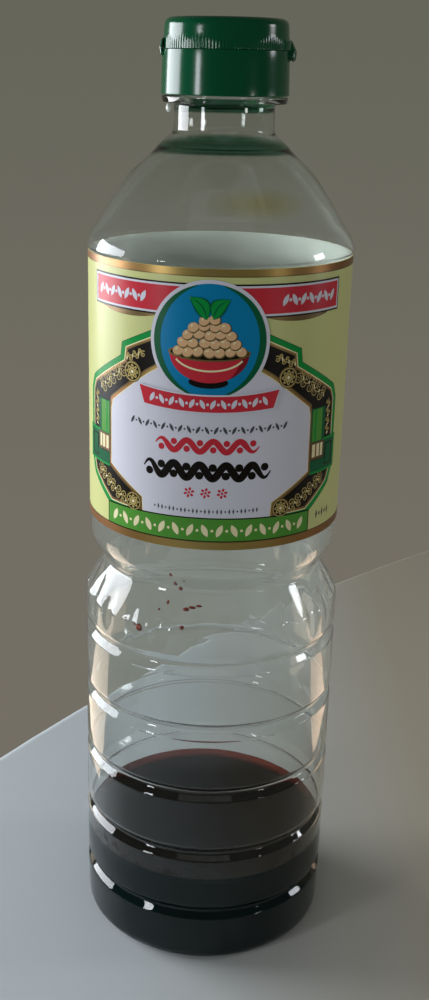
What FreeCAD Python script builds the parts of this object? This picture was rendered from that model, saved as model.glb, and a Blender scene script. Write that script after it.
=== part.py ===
"""Soy sauce bottle: a clear blown PET bottle with a wrap label, a little sauce left in it and a pressed-on flip-top cap.

The frame is in millimetres, with +Z up, the origin on the table at the middle of the foot, the front of the label
facing -Y, the cap's thumb tab on +X and its hinge on -X.
"""

import FreeCAD
import Part

import math
import os

from FreeCAD import Vector

# ---- driving dimensions of the blown bottle ----
band_radius = 39.4          # plain bands of the lower body
wall = 0.5                  # blown wall of body and shoulder
foot_inner_radius = 30.0    # where the flat foot ring gives way to the push-up
heel_radius = 5.0
push_up = 5.5               # height of the hollow under the middle of the base
groove_count = 5
groove_first_z = 19.3       # middle of the lowest groove
groove_pitch = 21.4
groove_depth = 1.4
groove_half_height = 2.7
band_above_grooves = 11.1   # fluted band, from the top groove's middle to its upper corner
flute_count = 24            # upright oval hollows round the fluted band
flute_radius = 7.0          # radius of the round-ended tool that shapes one
flute_height = 9.0          # straight length of that tool
flute_depth = 1.0
flute_lean = 13.0           # degrees its top leans in, towards the waist
waist_radius = 32.8         # sharp bottom of the waist, before it is rounded
waist_lower_height = 10.7
waist_upper_height = 7.0
panel_radius = 37.7         # recessed wall behind the label
panel_height = 87.2
ridge_step = 0.65           # how far the shoulder's edge stands proud of the label panel
shoulder_knee_radius = 27.0
shoulder_knee_rise = 19.1   # steep lower part of the shoulder
shoulder_top_rise = 7.4     # flatter upper part, up to the step under the neck
step_radius = 19.0
step_rise = 1.0
flare_rise = 3.8            # from the step up to the straight neck
neck_radius = 14.0
neck_wall = 1.8
neck_length = 7.2           # clear neck between the step's top and the support ring
ring_overhang = 3.6         # support ring under the cap, beyond the neck
ring_thickness = 2.1
finish_height = 11.1        # neck above the support ring, inside the cap
snap_bead = 1.3             # how far the neck's snap bead stands out

# ---- label and contents ----
label_thickness = 0.25
label_clearance = 0.1
label_margin = 7.9          # bare panel under the label
label_top_margin = 0.9      # and above it
sauce_level = 30.5

# ---- flip-top cap ----
cap_gap = 0.25              # cap's lower rim above the support ring
skirt_clearance = 2.15      # skirt's bore around the neck, with the snap bead between them
skirt_draft = 0.35          # how much narrower the skirt is at its top
skirt_wall = 1.6
seat_rim_drop = 0.8         # seat for the lid, above the underside of the deck
deck_thickness = 1.4
deck_ring_height = 1.0
spout_bore = 4.6
spout_wall = 1.3
spout_height = 4.7
seam_gap = 0.15             # between the skirt's rim and the lid
lid_setback = 0.25          # lid's wall behind the skirt's rim
lid_draft = 0.3
lid_height = 7.95
lid_wall = 1.4
lid_corner = 2.0
lid_clearance = 0.35        # lid's inner wall around the deck ring
knurl_height = 2.8
knurl_depth = 0.35
knurl_count = 120
plug_clearance = 0.5
plug_depth = 1.0
plug_wall = 1.1
tab_root_angle = 54.0
tab_root_thickness = 0.75
tongue_angle = 24.0
tongue_reach = 2.15         # how far the tongue stands out from the lid
tongue_drop = 3.0           # how far it hangs below the seam
tongue_thickness = 1.35
hinge_width = 9.0
hinge_bead_radius = 0.55
hinge_rise = 0.6            # hinge line above the skirt's rim
hinge_clearance = 0.2

# ---- heights and radii that follow from them ----
groove_top_z = groove_first_z + (groove_count - 1) * groove_pitch
flute_band_top_z = groove_top_z + band_above_grooves
waist_z = flute_band_top_z + waist_lower_height
panel_bottom_z = waist_z + waist_upper_height
panel_top_z = panel_bottom_z + panel_height
label_bottom_z = panel_bottom_z + label_margin
knee_z = panel_top_z + shoulder_knee_rise
step_z = knee_z + shoulder_top_rise
neck_bottom_z = step_z + step_rise + flare_rise
ring_bottom_z = neck_bottom_z + neck_length
ring_top_z = ring_bottom_z + ring_thickness
neck_top_z = ring_top_z + finish_height
label_height = panel_height - label_margin - label_top_margin
skirt_bottom_z = ring_top_z + cap_gap
deck_top_z = neck_top_z + deck_thickness
seat_z = neck_top_z + seat_rim_drop
lid_bottom_z = seat_z + seam_gap
lid_top_z = lid_bottom_z + lid_height
spout_top_z = deck_top_z + spout_height
neck_bore = neck_radius - neck_wall
ring_radius = neck_radius + ring_overhang
skirt_bottom_radius = neck_radius + skirt_clearance + skirt_wall
skirt_top_radius = skirt_bottom_radius - skirt_draft
lid_radius = skirt_top_radius - lid_setback
lid_top_radius = lid_radius - lid_draft
knurl_radius = lid_radius + knurl_depth
lid_bore = lid_radius - lid_wall
flat_x = lid_radius - 0.1   # flat on the lid behind the hinge bead
hinge_x = flat_x + hinge_clearance + hinge_bead_radius
hinge_z = seat_z + hinge_rise

far = 4.0 * band_radius     # comfortably outside the bottle


def point(radius, height):
    """A point of a turned section, in the XZ plane."""
    return Vector(radius, 0.0, height)


def corner_arc(before, corner, after, radius):
    """The start, middle and end of the arc that rounds a corner of a section."""
    to_before = (before - corner).normalize()
    to_after = (after - corner).normalize()
    half = math.acos(max(-1.0, min(1.0, to_before.dot(to_after)))) / 2
    reach = radius / math.tan(half)
    inward = (to_before + to_after).normalize()
    centre = corner + inward * (radius / math.sin(half))
    return corner + to_before * reach, centre - inward * radius, corner + to_after * reach


def rounded_section(corners):
    """Edges through a list of (radius, height, rounding), with an arc at each rounded corner."""
    places = [point(r, z) for r, z, _ in corners]
    edges = []
    last = places[0]
    for before, corner, after, (_, _, rounding) in zip(places, places[1:], places[2:], corners[1:-1]):
        if rounding > 0:
            start, middle, end = corner_arc(before, corner, after, rounding)
            if (start - last).dot(corner - before) < 0:
                raise ValueError("rounding too large at radius %.2f, height %.2f" % (corner.x, corner.z))
            edges.append(Part.LineSegment(last, start).toShape())
            edges.append(Part.Arc(start, middle, end).toShape())
            last = end
        else:
            edges.append(Part.LineSegment(last, corner).toShape())
            last = corner
    edges.append(Part.LineSegment(last, places[-1]).toShape())
    return edges


def turned(corners, angle=360.0, start=0.0):
    """The solid that a closed section makes when it is turned about Z."""
    edges = rounded_section(corners + [corners[0]])
    face = Part.Face(Part.Wire(edges))
    face.rotate(Vector(0, 0, 0), Vector(0, 0, 1), start)
    return face.revolve(Vector(0, 0, 0), Vector(0, 0, 1), angle)


def offset_section(corners, distance):
    """The same section moved inwards by a distance, with its roundings grown or shrunk to stay parallel."""
    places = [point(r, z) for r, z, _ in corners]
    lines = []
    for a, b in zip(places, places[1:]):
        along = (b - a).normalize()
        inward = Vector(-along.z, 0, along.x)
        lines.append((a + inward * distance, along))
    moved = [(lines[0][0].x, lines[0][0].z, 0.0)]
    for (p, d), (q, e), (_, _, rounding) in zip(lines, lines[1:], corners[1:-1]):
        cross = d.x * e.z - d.z * e.x
        t = ((q.x - p.x) * e.z - (q.z - p.z) * e.x) / cross
        corner = p + d * t
        convex = cross > 0
        moved.append((corner.x, corner.z, max(0.0, rounding - distance if convex else rounding + distance)))
    p, d = lines[-1]
    length = (places[-1] - places[-2]).Length
    end = p + d * length
    moved.append((end.x, end.z, 0.0))
    return moved


def groove(middle_z):
    """One moulded ring groove of the lower body."""
    return [
        (band_radius, middle_z - groove_half_height, 2.2),
        (band_radius - groove_depth, middle_z, 1.7),
        (band_radius, middle_z + groove_half_height, 2.2),
    ]


def body_section():
    """The outside of the blown body, from the middle of the base up to the flare under the neck."""
    section = [
        (0.0, push_up, 0.0),
        (foot_inner_radius * 0.45, push_up, 14.0),
        (foot_inner_radius, 0.0, 1.4),
        (band_radius - 0.4, 0.0, heel_radius),
    ]
    for index in range(groove_count):
        section += groove(groove_first_z + index * groove_pitch)
    section += [
        (band_radius, flute_band_top_z, 4.5),
        (waist_radius, waist_z, 2.4),
        (panel_radius, panel_bottom_z, 9.0),
        (panel_radius, panel_top_z - 2 * ridge_step, 0.5),
        (panel_radius + ridge_step, panel_top_z, 1.7),
        (shoulder_knee_radius, knee_z, 28.0),
    ]
    return section


def flute_tool(grown):
    """The round-ended rod that hollows one flute, made bigger by the wall when it shapes the inside."""
    radius = flute_radius + grown
    half = flute_height / 2
    rod = Part.Face(Part.Wire([
        Part.LineSegment(Vector(0, 0, -half - radius), Vector(0, 0, half + radius)).toShape(),
        Part.Arc(
            Vector(0, 0, half + radius),
            Vector(radius * math.sin(math.pi / 4), 0, half + radius * math.cos(math.pi / 4)),
            Vector(radius, 0, half),
        ).toShape(),
        Part.LineSegment(Vector(radius, 0, half), Vector(radius, 0, -half)).toShape(),
        Part.Arc(
            Vector(radius, 0, -half),
            Vector(radius * math.sin(math.pi / 4), 0, -half - radius * math.cos(math.pi / 4)),
            Vector(0, 0, -half - radius),
        ).toShape(),
    ])).revolve(Vector(0, 0, 0), Vector(0, 0, 1), 360.0)
    rod.rotate(Vector(0, 0, 0), Vector(0, 1, 0), -flute_lean)
    rod.translate(Vector(band_radius + flute_radius - flute_depth, 0, flute_band_top_z))
    return rod


def with_flutes(blank, grown):
    """A body blank with the ring of flutes pressed into it."""
    tools = []
    for index in range(flute_count):
        tool = flute_tool(grown)
        tool.rotate(Vector(0, 0, 0), Vector(0, 0, 1), (index + 0.5) * 360.0 / flute_count)
        tools.append(tool)
    return blank.cut(tools)


def outer_blank():
    """The bottle's outside as a filled solid, with its flutes, support ring and snap bead."""
    bead_z = ring_top_z + 0.42 * finish_height
    section = body_section() + [
        (step_radius, step_z, 0.8),
        (step_radius - 0.8, step_z + step_rise, 1.0),
        (neck_radius, neck_bottom_z, 2.2),
        (neck_radius, ring_bottom_z, 0.6),
        (ring_radius - 0.4, ring_bottom_z + 0.3, 0.4),
        (ring_radius, ring_top_z, 0.4),
        (neck_radius, ring_top_z, 0.0),
        (neck_radius, bead_z - 1.6, 0.0),
        (neck_radius + snap_bead, bead_z - 0.4, 0.4),
        (neck_radius, bead_z + 1.8, 0.0),
        (neck_radius, neck_top_z, 0.0),
        (0.0, neck_top_z, 0.0),
    ]
    return with_flutes(turned(section), 0.0)


def cavity_blank():
    """The space inside the bottle as a filled solid: a parallel wall up the body, and a thicker one at the neck."""
    section = offset_section(body_section() + [(step_radius, step_z, 0.0)], wall)[:-1]
    section[0] = (0.0, push_up + wall, 0.0)
    section += [
        (neck_bore, neck_bottom_z - 1.2, 3.0),
        (neck_bore, neck_top_z, 0.0),
        (0.0, neck_top_z, 0.0),
    ]
    return with_flutes(turned(section), wall)


def bottle_and_sauce():
    """The hollow bottle, and the sauce that fills it up to its level."""
    cavity = cavity_blank()
    bottle = outer_blank().cut(cavity)
    below_level = Part.makeBox(far, far, sauce_level + far, Vector(-far / 2, -far / 2, -far))
    return bottle, cavity.common(below_level)


def label():
    """The wrap label, a sleeve in the recessed panel."""
    bore = panel_radius + label_clearance
    outer = Part.makeCylinder(bore + label_thickness, label_height, Vector(0, 0, label_bottom_z))
    inner = Part.makeCylinder(bore, label_height, Vector(0, 0, label_bottom_z))
    return outer.cut(inner)


def cap_base():
    """The pressed-on lower part of the cap: skirt, deck, pouring spout and hinge bead."""
    skirt_bore = skirt_bottom_radius - skirt_wall
    catch_z = ring_top_z + 0.42 * finish_height - 3.0
    spout_radius = spout_bore + spout_wall
    body = turned([
        (spout_bore, neck_top_z, 0.0),
        (skirt_bore, neck_top_z, 0.0),
        (skirt_bore, catch_z + 1.0, 0.0),
        (neck_radius + 0.45, catch_z, 0.3),
        (skirt_bore, catch_z - 1.3, 0.0),
        (skirt_bore, skirt_bottom_z, 0.0),
        (skirt_bottom_radius, skirt_bottom_z, 0.35),
        (skirt_top_radius, seat_z, 0.25),
        (lid_bore - lid_clearance, seat_z, 0.0),
        (lid_bore - lid_clearance, deck_top_z + deck_ring_height, 0.3),
        (lid_bore - lid_clearance - 1.2, deck_top_z + deck_ring_height, 0.3),
        (lid_bore - lid_clearance - 1.2, deck_top_z, 0.4),
        (spout_radius, deck_top_z, 0.8),
        (spout_radius, spout_top_z - 1.0, 0.6),
        (spout_radius + 0.7, spout_top_z, 0.15),
        (spout_bore, spout_top_z, 0.3),
    ])
    bead = Part.makeCylinder(hinge_bead_radius, hinge_width, Vector(-hinge_x, -hinge_width / 2, hinge_z), Vector(0, 1, 0))
    lug_depth = 1.4
    lug = Part.makeBox(
        hinge_x + hinge_bead_radius - skirt_top_radius + 0.6,
        hinge_width,
        lug_depth,
        Vector(-hinge_x - hinge_bead_radius, -hinge_width / 2, seat_z - lug_depth),
    )
    web = Part.makeBox(
        hinge_bead_radius,
        hinge_width,
        hinge_rise + lug_depth / 2,
        Vector(-hinge_x - hinge_bead_radius, -hinge_width / 2, seat_z - lug_depth / 2),
    )
    lug = lug.fuse(web)
    return body.fuse([bead, lug]).removeSplitter()


def knurled_ring():
    """The finely ribbed band round the lid's lower edge, as a toothed disc."""
    outline = []
    for index in range(2 * knurl_count):
        radius = knurl_radius if index % 2 else lid_radius - 0.05
        angle = math.pi * index / knurl_count
        outline.append(Vector(radius * math.cos(angle), radius * math.sin(angle), lid_bottom_z))
    face = Part.Face(Part.makePolygon(outline + [outline[0]]))
    ring = face.extrude(Vector(0, 0, knurl_height))
    return ring.cut(Part.makeCylinder(lid_radius - 0.5, knurl_height, Vector(0, 0, lid_bottom_z)))


def thumb_tab():
    """The lid's lifting tab: a wide root pad, and a narrow tongue that hangs over the skirt."""
    inside = lid_radius - 0.6
    pad_radius = lid_radius + tab_root_thickness
    root = turned(
        [
            (inside, lid_bottom_z, 0.0),
            (pad_radius, lid_bottom_z, 0.25),
            (pad_radius, lid_bottom_z + knurl_height - 0.5, 0.3),
            (inside, lid_bottom_z + knurl_height, 0.0),
        ],
        tab_root_angle,
        -tab_root_angle / 2,
    )
    reach = lid_radius + tongue_reach
    hang_bore = reach - tongue_thickness
    tongue = turned(
        [
            (inside, lid_bottom_z, 0.0),
            (hang_bore, lid_bottom_z, 0.3),
            (hang_bore, lid_bottom_z - tongue_drop, 0.25),
            (reach - 0.25, lid_bottom_z - tongue_drop + 0.5, 0.5),
            (reach, lid_bottom_z - 0.4, 1.6),
            (pad_radius, lid_bottom_z + knurl_height - 0.3, 0.4),
            (inside, lid_bottom_z + knurl_height, 0.0),
        ],
        tongue_angle,
        -tongue_angle / 2,
    )
    return root.fuse(tongue)


def cap_lid():
    """The hinged lid: a hollow cup with a sealing plug, a knurled lower band and a thumb tab."""
    roof_z = lid_top_z - lid_wall
    plug_radius = spout_bore - plug_clearance
    cup = turned([
        (0.0, lid_top_z, 0.0),
        (lid_top_radius, lid_top_z, lid_corner),
        (lid_radius, lid_bottom_z + knurl_height, 0.0),
        (lid_radius, lid_bottom_z, 0.0),
        (lid_bore, lid_bottom_z, 0.0),
        (lid_bore - 0.2, roof_z, 1.0),
        (plug_radius, roof_z, 0.3),
        (plug_radius, spout_top_z - plug_depth, 0.3),
        (plug_radius - plug_wall, spout_top_z - plug_depth, 0.3),
        (plug_radius - plug_wall, roof_z, 0.3),
        (0.0, roof_z, 0.0),
    ])
    lid = cup.fuse([knurled_ring(), thumb_tab()])
    hinge_flat = Part.makeBox(
        far,
        hinge_width + 1.0,
        knurl_height,
        Vector(-flat_x - far, -(hinge_width + 1.0) / 2, lid_bottom_z),
    )
    return lid.cut(hinge_flat).removeSplitter()


def check_and_save(name, shape):
    """Writes one node as STEP, after making sure that it is one valid closed solid."""
    solids = shape.Solids
    print(name, "solids", len(solids), "valid", shape.isValid(), "volume cm3", round(shape.Volume / 1000, 2))
    if len(solids) != 1 or not solids[0].isValid():
        raise RuntimeError(name + " is not one valid solid")
    solids[0].exportStep(os.path.join("parts", name + ".step"))


def main():
    os.makedirs("parts", exist_ok=True)
    bottle, sauce = bottle_and_sauce()
    check_and_save("bottle", bottle)
    check_and_save("sauce", sauce)
    check_and_save("label", label())
    check_and_save("cap_base", cap_base())
    check_and_save("cap_lid", cap_lid())
    print("overall height", round(lid_top_z, 2), "neck top", round(neck_top_z, 2), "hinge", -hinge_x, hinge_z)
    print("label", round(label_bottom_z, 2), round(label_bottom_z + label_height, 2), "cavity ml", round(cavity_blank().Volume / 1000, 1))


main()
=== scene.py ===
"""A clear one-litre soy sauce bottle with a wrap label and a green flip-top cap, dressed over its frame."""

import math

import bpy
import numpy as np
from mathutils import Matrix, Vector


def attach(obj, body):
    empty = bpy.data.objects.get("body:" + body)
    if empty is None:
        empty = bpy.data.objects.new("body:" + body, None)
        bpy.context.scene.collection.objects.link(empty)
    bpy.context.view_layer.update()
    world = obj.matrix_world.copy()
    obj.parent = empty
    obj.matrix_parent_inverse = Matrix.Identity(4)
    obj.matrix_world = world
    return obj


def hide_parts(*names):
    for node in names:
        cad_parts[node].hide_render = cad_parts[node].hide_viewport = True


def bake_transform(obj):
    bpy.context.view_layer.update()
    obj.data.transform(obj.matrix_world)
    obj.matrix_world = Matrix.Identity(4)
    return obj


bl_info = {
    "name": "Flip-Top Sauce Bottle",
    "version": (1, 0, 0),
    "blender": (4, 5, 0),
    "location": "3D View > Sidebar > Sauce Bottle",
    "description": (
        "Makes a blown PET sauce bottle, its printed label, the sauce in it, its hinged cap and a plain stage"
    ),
    "category": "Object",
}

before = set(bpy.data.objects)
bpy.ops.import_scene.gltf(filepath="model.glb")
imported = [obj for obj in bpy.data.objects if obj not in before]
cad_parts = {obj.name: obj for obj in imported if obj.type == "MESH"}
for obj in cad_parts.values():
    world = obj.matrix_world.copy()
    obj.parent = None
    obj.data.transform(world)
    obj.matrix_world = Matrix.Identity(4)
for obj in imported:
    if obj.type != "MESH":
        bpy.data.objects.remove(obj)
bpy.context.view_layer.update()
MM = 0.001
FULL_TURN = 2.0 * math.pi

# Equal steps round each turned piece
BOTTLE_STEPS, SAUCE_STEPS, LABEL_STEPS, SKIRT_STEPS, LID_STEPS, TABLE_STEPS = 240, 180, 360, 180, 720, 240


def linear(code):
    """A six-figure sRGB hex value as linear red, green and blue."""
    channels = [int(code[i:i + 2], 16) / 255.0 for i in (1, 3, 5)]
    return tuple(c / 12.92 if c <= 0.04045 else ((c + 0.055) / 1.055) ** 2.4 for c in channels)


def length(name, description, millimetres):
    """A length property whose default is given in millimetres."""
    return bpy.props.FloatProperty(
        name=name, description=description, default=millimetres * MM, unit="LENGTH", precision=5
    )


def colour(name, description, code):
    """A colour property whose default is an sRGB hex value."""
    return bpy.props.FloatVectorProperty(
        name=name, description=description, default=linear(code), size=3, subtype="COLOR", min=0.0, max=1.0
    )


# ---------------------------------------------------------------- settings

class BottleSizes(bpy.types.PropertyGroup):
    """Sizes of the blown bottle."""
    band: length("Body radius", "Radius of the plain bands of the lower body", 39.4)
    wall: length("Wall", "Thickness of the blown wall", 0.5)
    push_up: length("Push-up", "Height of the hollow under the base", 5.5)
    groove_first: length("First groove", "Height of the lowest ring groove", 19.3)
    groove_pitch: length("Groove pitch", "Distance from one ring groove to the next", 21.4)
    groove_depth: length("Groove depth", "Depth of a ring groove", 1.8)
    groove_half: length("Groove half height", "Half the height of a ring groove", 2.5)
    groove_count: bpy.props.IntProperty(
        name="Grooves", description="How many ring grooves the body has", default=5, min=1
    )
    fluted_top: length("Fluted band top", "Height where the fluted band turns in to the waist", 116.0)
    flute_count: bpy.props.IntProperty(
        name="Flutes", description="How many upright hollows go round the fluted band", default=24, min=3
    )
    flute_width: length("Flute width", "Width of one upright hollow", 7.4)
    flute_height: length("Flute height", "Height of one upright hollow", 15.5)
    flute_depth: length("Flute depth", "Depth of one upright hollow", 1.0)
    waist: length("Waist radius", "Radius of the waist before it is rounded", 32.8)
    waist_height: length("Waist height", "Height of the waist", 126.7)
    panel: length("Panel radius", "Radius of the wall behind the label", 37.7)
    panel_bottom: length("Panel bottom", "Height where the label panel begins", 133.7)
    panel_top: length("Panel top", "Height where the label panel ends", 220.9)
    ridge: length("Ridge", "How far the shoulder's edge stands proud of the panel", 0.65)
    knee: length("Knee radius", "Radius where the shoulder's slope changes", 27.0)
    knee_height: length("Knee height", "Height where the shoulder's slope changes", 240.0)
    step: length("Step radius", "Radius of the moulded step under the neck", 19.0)
    step_height: length("Step height", "Height of the moulded step", 247.4)
    neck: length("Neck radius", "Outer radius of the neck", 14.0)
    neck_bore: length("Neck bore", "Inner radius of the neck", 12.2)
    neck_bottom: length("Neck bottom", "Height where the neck becomes straight", 252.2)
    ring: length("Support ring radius", "Radius of the ring under the cap", 17.6)
    ring_bottom: length("Support ring height", "Height of the underside of the ring", 259.4)
    ring_top: length("Support ring top", "Height of the top of the ring", 261.5)
    mouth: length("Mouth height", "Height of the neck's rim, inside the cap", 272.6)


class SauceSettings(bpy.types.PropertyGroup):
    """Level and colour of the sauce."""
    level: length("Level", "Height of the sauce's surface", 30.5)
    creep: length("Meniscus", "How far the sauce creeps up the wall", 1.7)
    overlap: length(
        "Reach into wall", "How far the sauce's side reaches into the wall, so that no air gap shows", 0.2
    )
    deep: colour("Deep sauce", "Colour of the sauce in bulk", "#060404")
    thin: colour("Thin sauce", "Colour of a thin film of sauce", "#4e1d12")


class LabelSettings(bpy.types.PropertyGroup):
    """Sizes and ink colours of the wrap label."""
    radius: length("Label radius", "Outer radius of the wrapped film", 38.05)
    thickness: length("Film thickness", "Thickness of the wrapped film", 0.25)
    bottom: length("Label bottom", "Height of the label's lower edge", 141.6)
    height: length("Label height", "Height of the label", 78.4)
    turn: bpy.props.FloatProperty(
        name="Label turn", description="How far the middle of the label's front lies from the front of the bottle",
        default=math.radians(-3.4), unit="ROTATION"
    )
    ground: colour("Ground", "Pale yellow-green of the label's ground", "#c3c786")
    gold: colour("Gold ink", "Edge bands", "#a08a4c")
    bronze: colour("Bronze ink", "Borders and shaded gold", "#7d6a3c")
    cream: colour("Cream ink", "Pale lines and light parts of the ornament", "#e4dcb0")
    red: colour("Red ink", "Banner, ribbon and the red row", "#c1303c")
    blue: colour("Blue ink", "Ground of the round picture", "#0b7cac")
    panel: colour("Panel white", "Cool white of the middle panel", "#cfd0da")
    gilt: colour("Gilt ink", "Fine lines of the filigree", "#b8a566")
    maroon: colour("Dark red ink", "Shaded side of the bowl", "#7e1c24")
    leaf: colour("Green ink", "Bright green outline", "#0c8c3c")
    bar: colour("Bar green", "Green of the lower bar", "#4f9036")
    forest: colour("Dark green ink", "Shadows of the green parts", "#0b5a38")
    black: colour("Black ink", "Outlines and the ornament's ground", "#15110d")
    grey: colour("Grey ink", "Thin rows", "#4b4a50")
    bean: colour("Bean ink", "Beans in the round picture", "#d9b184")


class CapSettings(bpy.types.PropertyGroup):
    """Sizes and colour of the flip-top cap."""
    skirt_bottom: length("Skirt radius", "Radius of the skirt's lower rim", 17.75)
    skirt_top: length("Skirt top radius", "Radius of the skirt under the lid", 17.4)
    skirt_foot: length("Skirt foot", "Height of the skirt's lower rim", 261.75)
    seat: length("Seat", "Height where the lid sits on the skirt", 273.4)
    seam: length("Seam", "Gap between the skirt and the lid", 0.07)
    lid: length("Lid radius", "Radius of the lid", 17.15)
    lid_top: length("Lid top radius", "Radius at the top of the lid's wall", 16.85)
    top: length("Top", "Height of the lid's top", 281.5)
    corner: length("Corner", "Rounding of the lid's top edge", 2.0)
    knurl_height: length("Rib height", "Height of the ribbed band", 2.8)
    knurl_depth: length("Rib depth", "How far the fine ribs stand out", 0.2)
    knurl_count: bpy.props.IntProperty(
        name="Ribs", description="How many fine ribs go round the lid", default=120, min=12
    )
    green: colour("Cap green", "Colour of the moulded cap", "#004a2b")


class StageSettings(bpy.types.PropertyGroup):
    """Floor, backdrop and light."""
    floor: colour("Table top", "Pale plain table top", "#bfc6c8")
    table: length("Table radius", "Radius of the round table top", 1060.0)
    table_middle: bpy.props.FloatVectorProperty(
        name="Table middle", description="Where the middle of the table top lies", default=(0.813, -0.477), size=2,
        unit="LENGTH"
    )
    wall: colour("Backdrop", "Plain backdrop at eye level", "#66665b")
    wall_low: colour("Low backdrop", "Plain backdrop lower down", "#746f65")
    room: bpy.props.FloatProperty(
        name="Room light", description="Strength of the dim light from all round", default=0.12, min=0.0
    )
    lens: bpy.props.FloatProperty(
        name="Lens", description="Focal length on a 36 mm sensor, in millimetres", default=44.37, min=10.0
    )


# ---------------------------------------------------------------- shapes

def rounded_profile(corners, step=4.0 * MM, bend=math.radians(9.0)):
    """Points along the straight runs between (radius, height, rounding) corners. A rounded corner becomes the arc
    that touches both of its runs: centre plus rounding times (cos a, sin a) for equal steps of the angle a. Runs
    are divided into equal parts no longer than step."""
    place = np.array([(r, z) for r, z, _ in corners])
    pieces = [place[:1]]

    def run(start, end):
        gap = float(np.linalg.norm(end - start))
        if gap > 1e-7:
            count = max(1, int(math.ceil(gap / step)))
            pieces.append(start + (end - start) * np.linspace(0, 1, count + 1)[1:, None])

    last = place[0]
    for before, corner, after, (_, _, rounding) in zip(place, place[1:], place[2:], corners[1:-1]):
        back = (before - corner) / np.linalg.norm(before - corner)
        ahead = (after - corner) / np.linalg.norm(after - corner)
        half = math.acos(float(np.clip(back @ ahead, -1, 1))) / 2
        if rounding > 0 and half < math.pi / 2 - 1e-4:
            start = corner + back * rounding / math.tan(half)
            inward = (back + ahead) / np.linalg.norm(back + ahead)
            centre = corner + inward * rounding / math.sin(half)
            run(last, start)
            turn = math.pi - 2 * half
            count = max(2, int(math.ceil(turn / bend)))
            a0 = math.atan2(*(start - centre)[::-1])
            side = back[0] * ahead[1] - back[1] * ahead[0]
            angles = a0 + np.linspace(0, turn, count + 1)[1:] * (1 if side < 0 else -1)
            pieces.append(centre + rounding * np.stack([np.cos(angles), np.sin(angles)], 1))
            last = pieces[-1][-1]
        else:
            run(last, corner)
            last = corner
    run(last, place[-1])
    return np.concatenate(pieces)


def parallel(profile, distance):
    """The profile moved to its left by a distance, along the mean normal of the two runs that meet at each
    point."""
    run = np.diff(profile, axis=0)
    run /= np.linalg.norm(run, axis=1)[:, None]
    normal = np.stack([-run[:, 1], run[:, 0]], 1)
    mean = np.concatenate([normal[:1], normal[:-1] + normal[1:], normal[-1:]])
    mean /= np.linalg.norm(mean, axis=1)[:, None]
    facing = np.concatenate([[1.0], np.clip(np.sum(mean[1:-1] * normal[:-1], 1), 0.5, 1), [1.0]])
    return profile + mean * (distance / facing)[:, None]


def mesh_of(name, points, faces):
    """A mesh from an array of points and a list of face arrays, each with three or four corners to a row."""
    mesh = bpy.data.meshes.new(name)
    faces = [f for f in faces if len(f)]
    sizes = np.concatenate([np.full(len(f), f.shape[1]) for f in faces])
    corners = np.concatenate([f.reshape(-1) for f in faces]).astype(np.int32)
    mesh.vertices.add(len(points))
    mesh.vertices.foreach_set("co", np.asarray(points, dtype=np.float32).reshape(-1))
    mesh.loops.add(len(corners))
    mesh.loops.foreach_set("vertex_index", corners)
    mesh.polygons.add(len(sizes))
    mesh.polygons.foreach_set("loop_start", np.concatenate([[0], np.cumsum(sizes)[:-1]]).astype(np.int32))
    mesh.polygons.foreach_set("use_smooth", np.full(len(sizes), True))
    mesh.update(calc_edges=True)
    if mesh.validate():
        raise RuntimeError(name + " had faulty faces")
    return mesh


def grid_faces(rows, columns, around=False, first=0):
    """The quads of a grid of points stored row by row; with around, each row closes on itself."""
    index = first + np.arange(rows * columns).reshape(rows, columns)
    right = np.roll(index, -1, axis=1) if around else index[:, 1:]
    left = index if around else index[:, :-1]
    return np.stack([left[:-1], right[:-1], right[1:], left[1:]], -1).reshape(-1, 4)


def turned(profile, segments, shape=None):
    """Points and faces of a profile turned about Z: (r cos a, r sin a, z) at equal steps of the angle a. Where the
    profile starts or ends on the axis, the row there is one point with a fan of triangles. shape(angle, radius,
    height) may change the radius."""
    angle = np.arange(segments) / segments * FULL_TURN
    ends = [profile[0, 0] < 1e-9, profile[-1, 0] < 1e-9]
    body = profile[int(ends[0]):len(profile) - int(ends[1])]
    a, r = np.meshgrid(angle, body[:, 0])
    z = np.repeat(body[:, 1:2], segments, axis=1)
    if shape is not None:
        r = shape(a, r, z)
    points = np.stack([r * np.cos(a), r * np.sin(a), z], -1).reshape(-1, 3)
    faces = [grid_faces(len(body), segments, around=True)]
    ring = np.arange(segments)
    following = np.roll(ring, -1)
    if ends[0]:
        points = np.concatenate([points, [[0, 0, profile[0, 1]]]])
        faces.append(np.stack([np.full(segments, len(points) - 1), following, ring], 1))
    if ends[1]:
        base = (len(body) - 1) * segments
        points = np.concatenate([points, [[0, 0, profile[-1, 1]]]])
        faces.append(np.stack([np.full(segments, len(points) - 1), base + ring, base + following], 1))
    return points, faces


def shell_of(name, profile, segments, shape=None, closed=False):
    """A turned mesh; closed joins the profile's last row to its first, for a section that is a ring."""
    if closed:
        profile = np.concatenate([profile, profile[:1]])
    points, faces = turned(profile, segments, shape)
    if closed:
        rows = len(profile) - 1
        points = points[:rows * segments]
        faces = [f % (rows * segments) for f in faces]
    return mesh_of(name, points, faces)


def piece(name, mesh, body, materials, replaces=()):
    """An object for a finished mesh, linked to the scene and tied to its CAD body, finish slot and the nodes that
    it stands for."""
    thing = bpy.data.objects.new(name, mesh)
    bpy.context.scene.collection.objects.link(thing)
    for material in materials:
        mesh.materials.append(material)
    if body:
        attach(thing, body)
    if replaces:
        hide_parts(*replaces)
    return thing


# ---------------------------------------------------------------- materials

def node(tree, kind, settings=None, **links):
    """Adds a node, sets its properties and input values, and links sockets that are given as (node, output)."""
    made = tree.nodes.new(kind)
    for key, value in (settings or {}).items():
        if isinstance(key, str) and hasattr(made, key) and key not in made.inputs:
            setattr(made, key, value)
        else:
            made.inputs[key].default_value = value
    for key, (source, output) in links.items():
        tree.links.new(source.outputs[output], made.inputs[int(key[1:]) if key[0] == "_" else key.replace("_", " ")])
    return made


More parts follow.
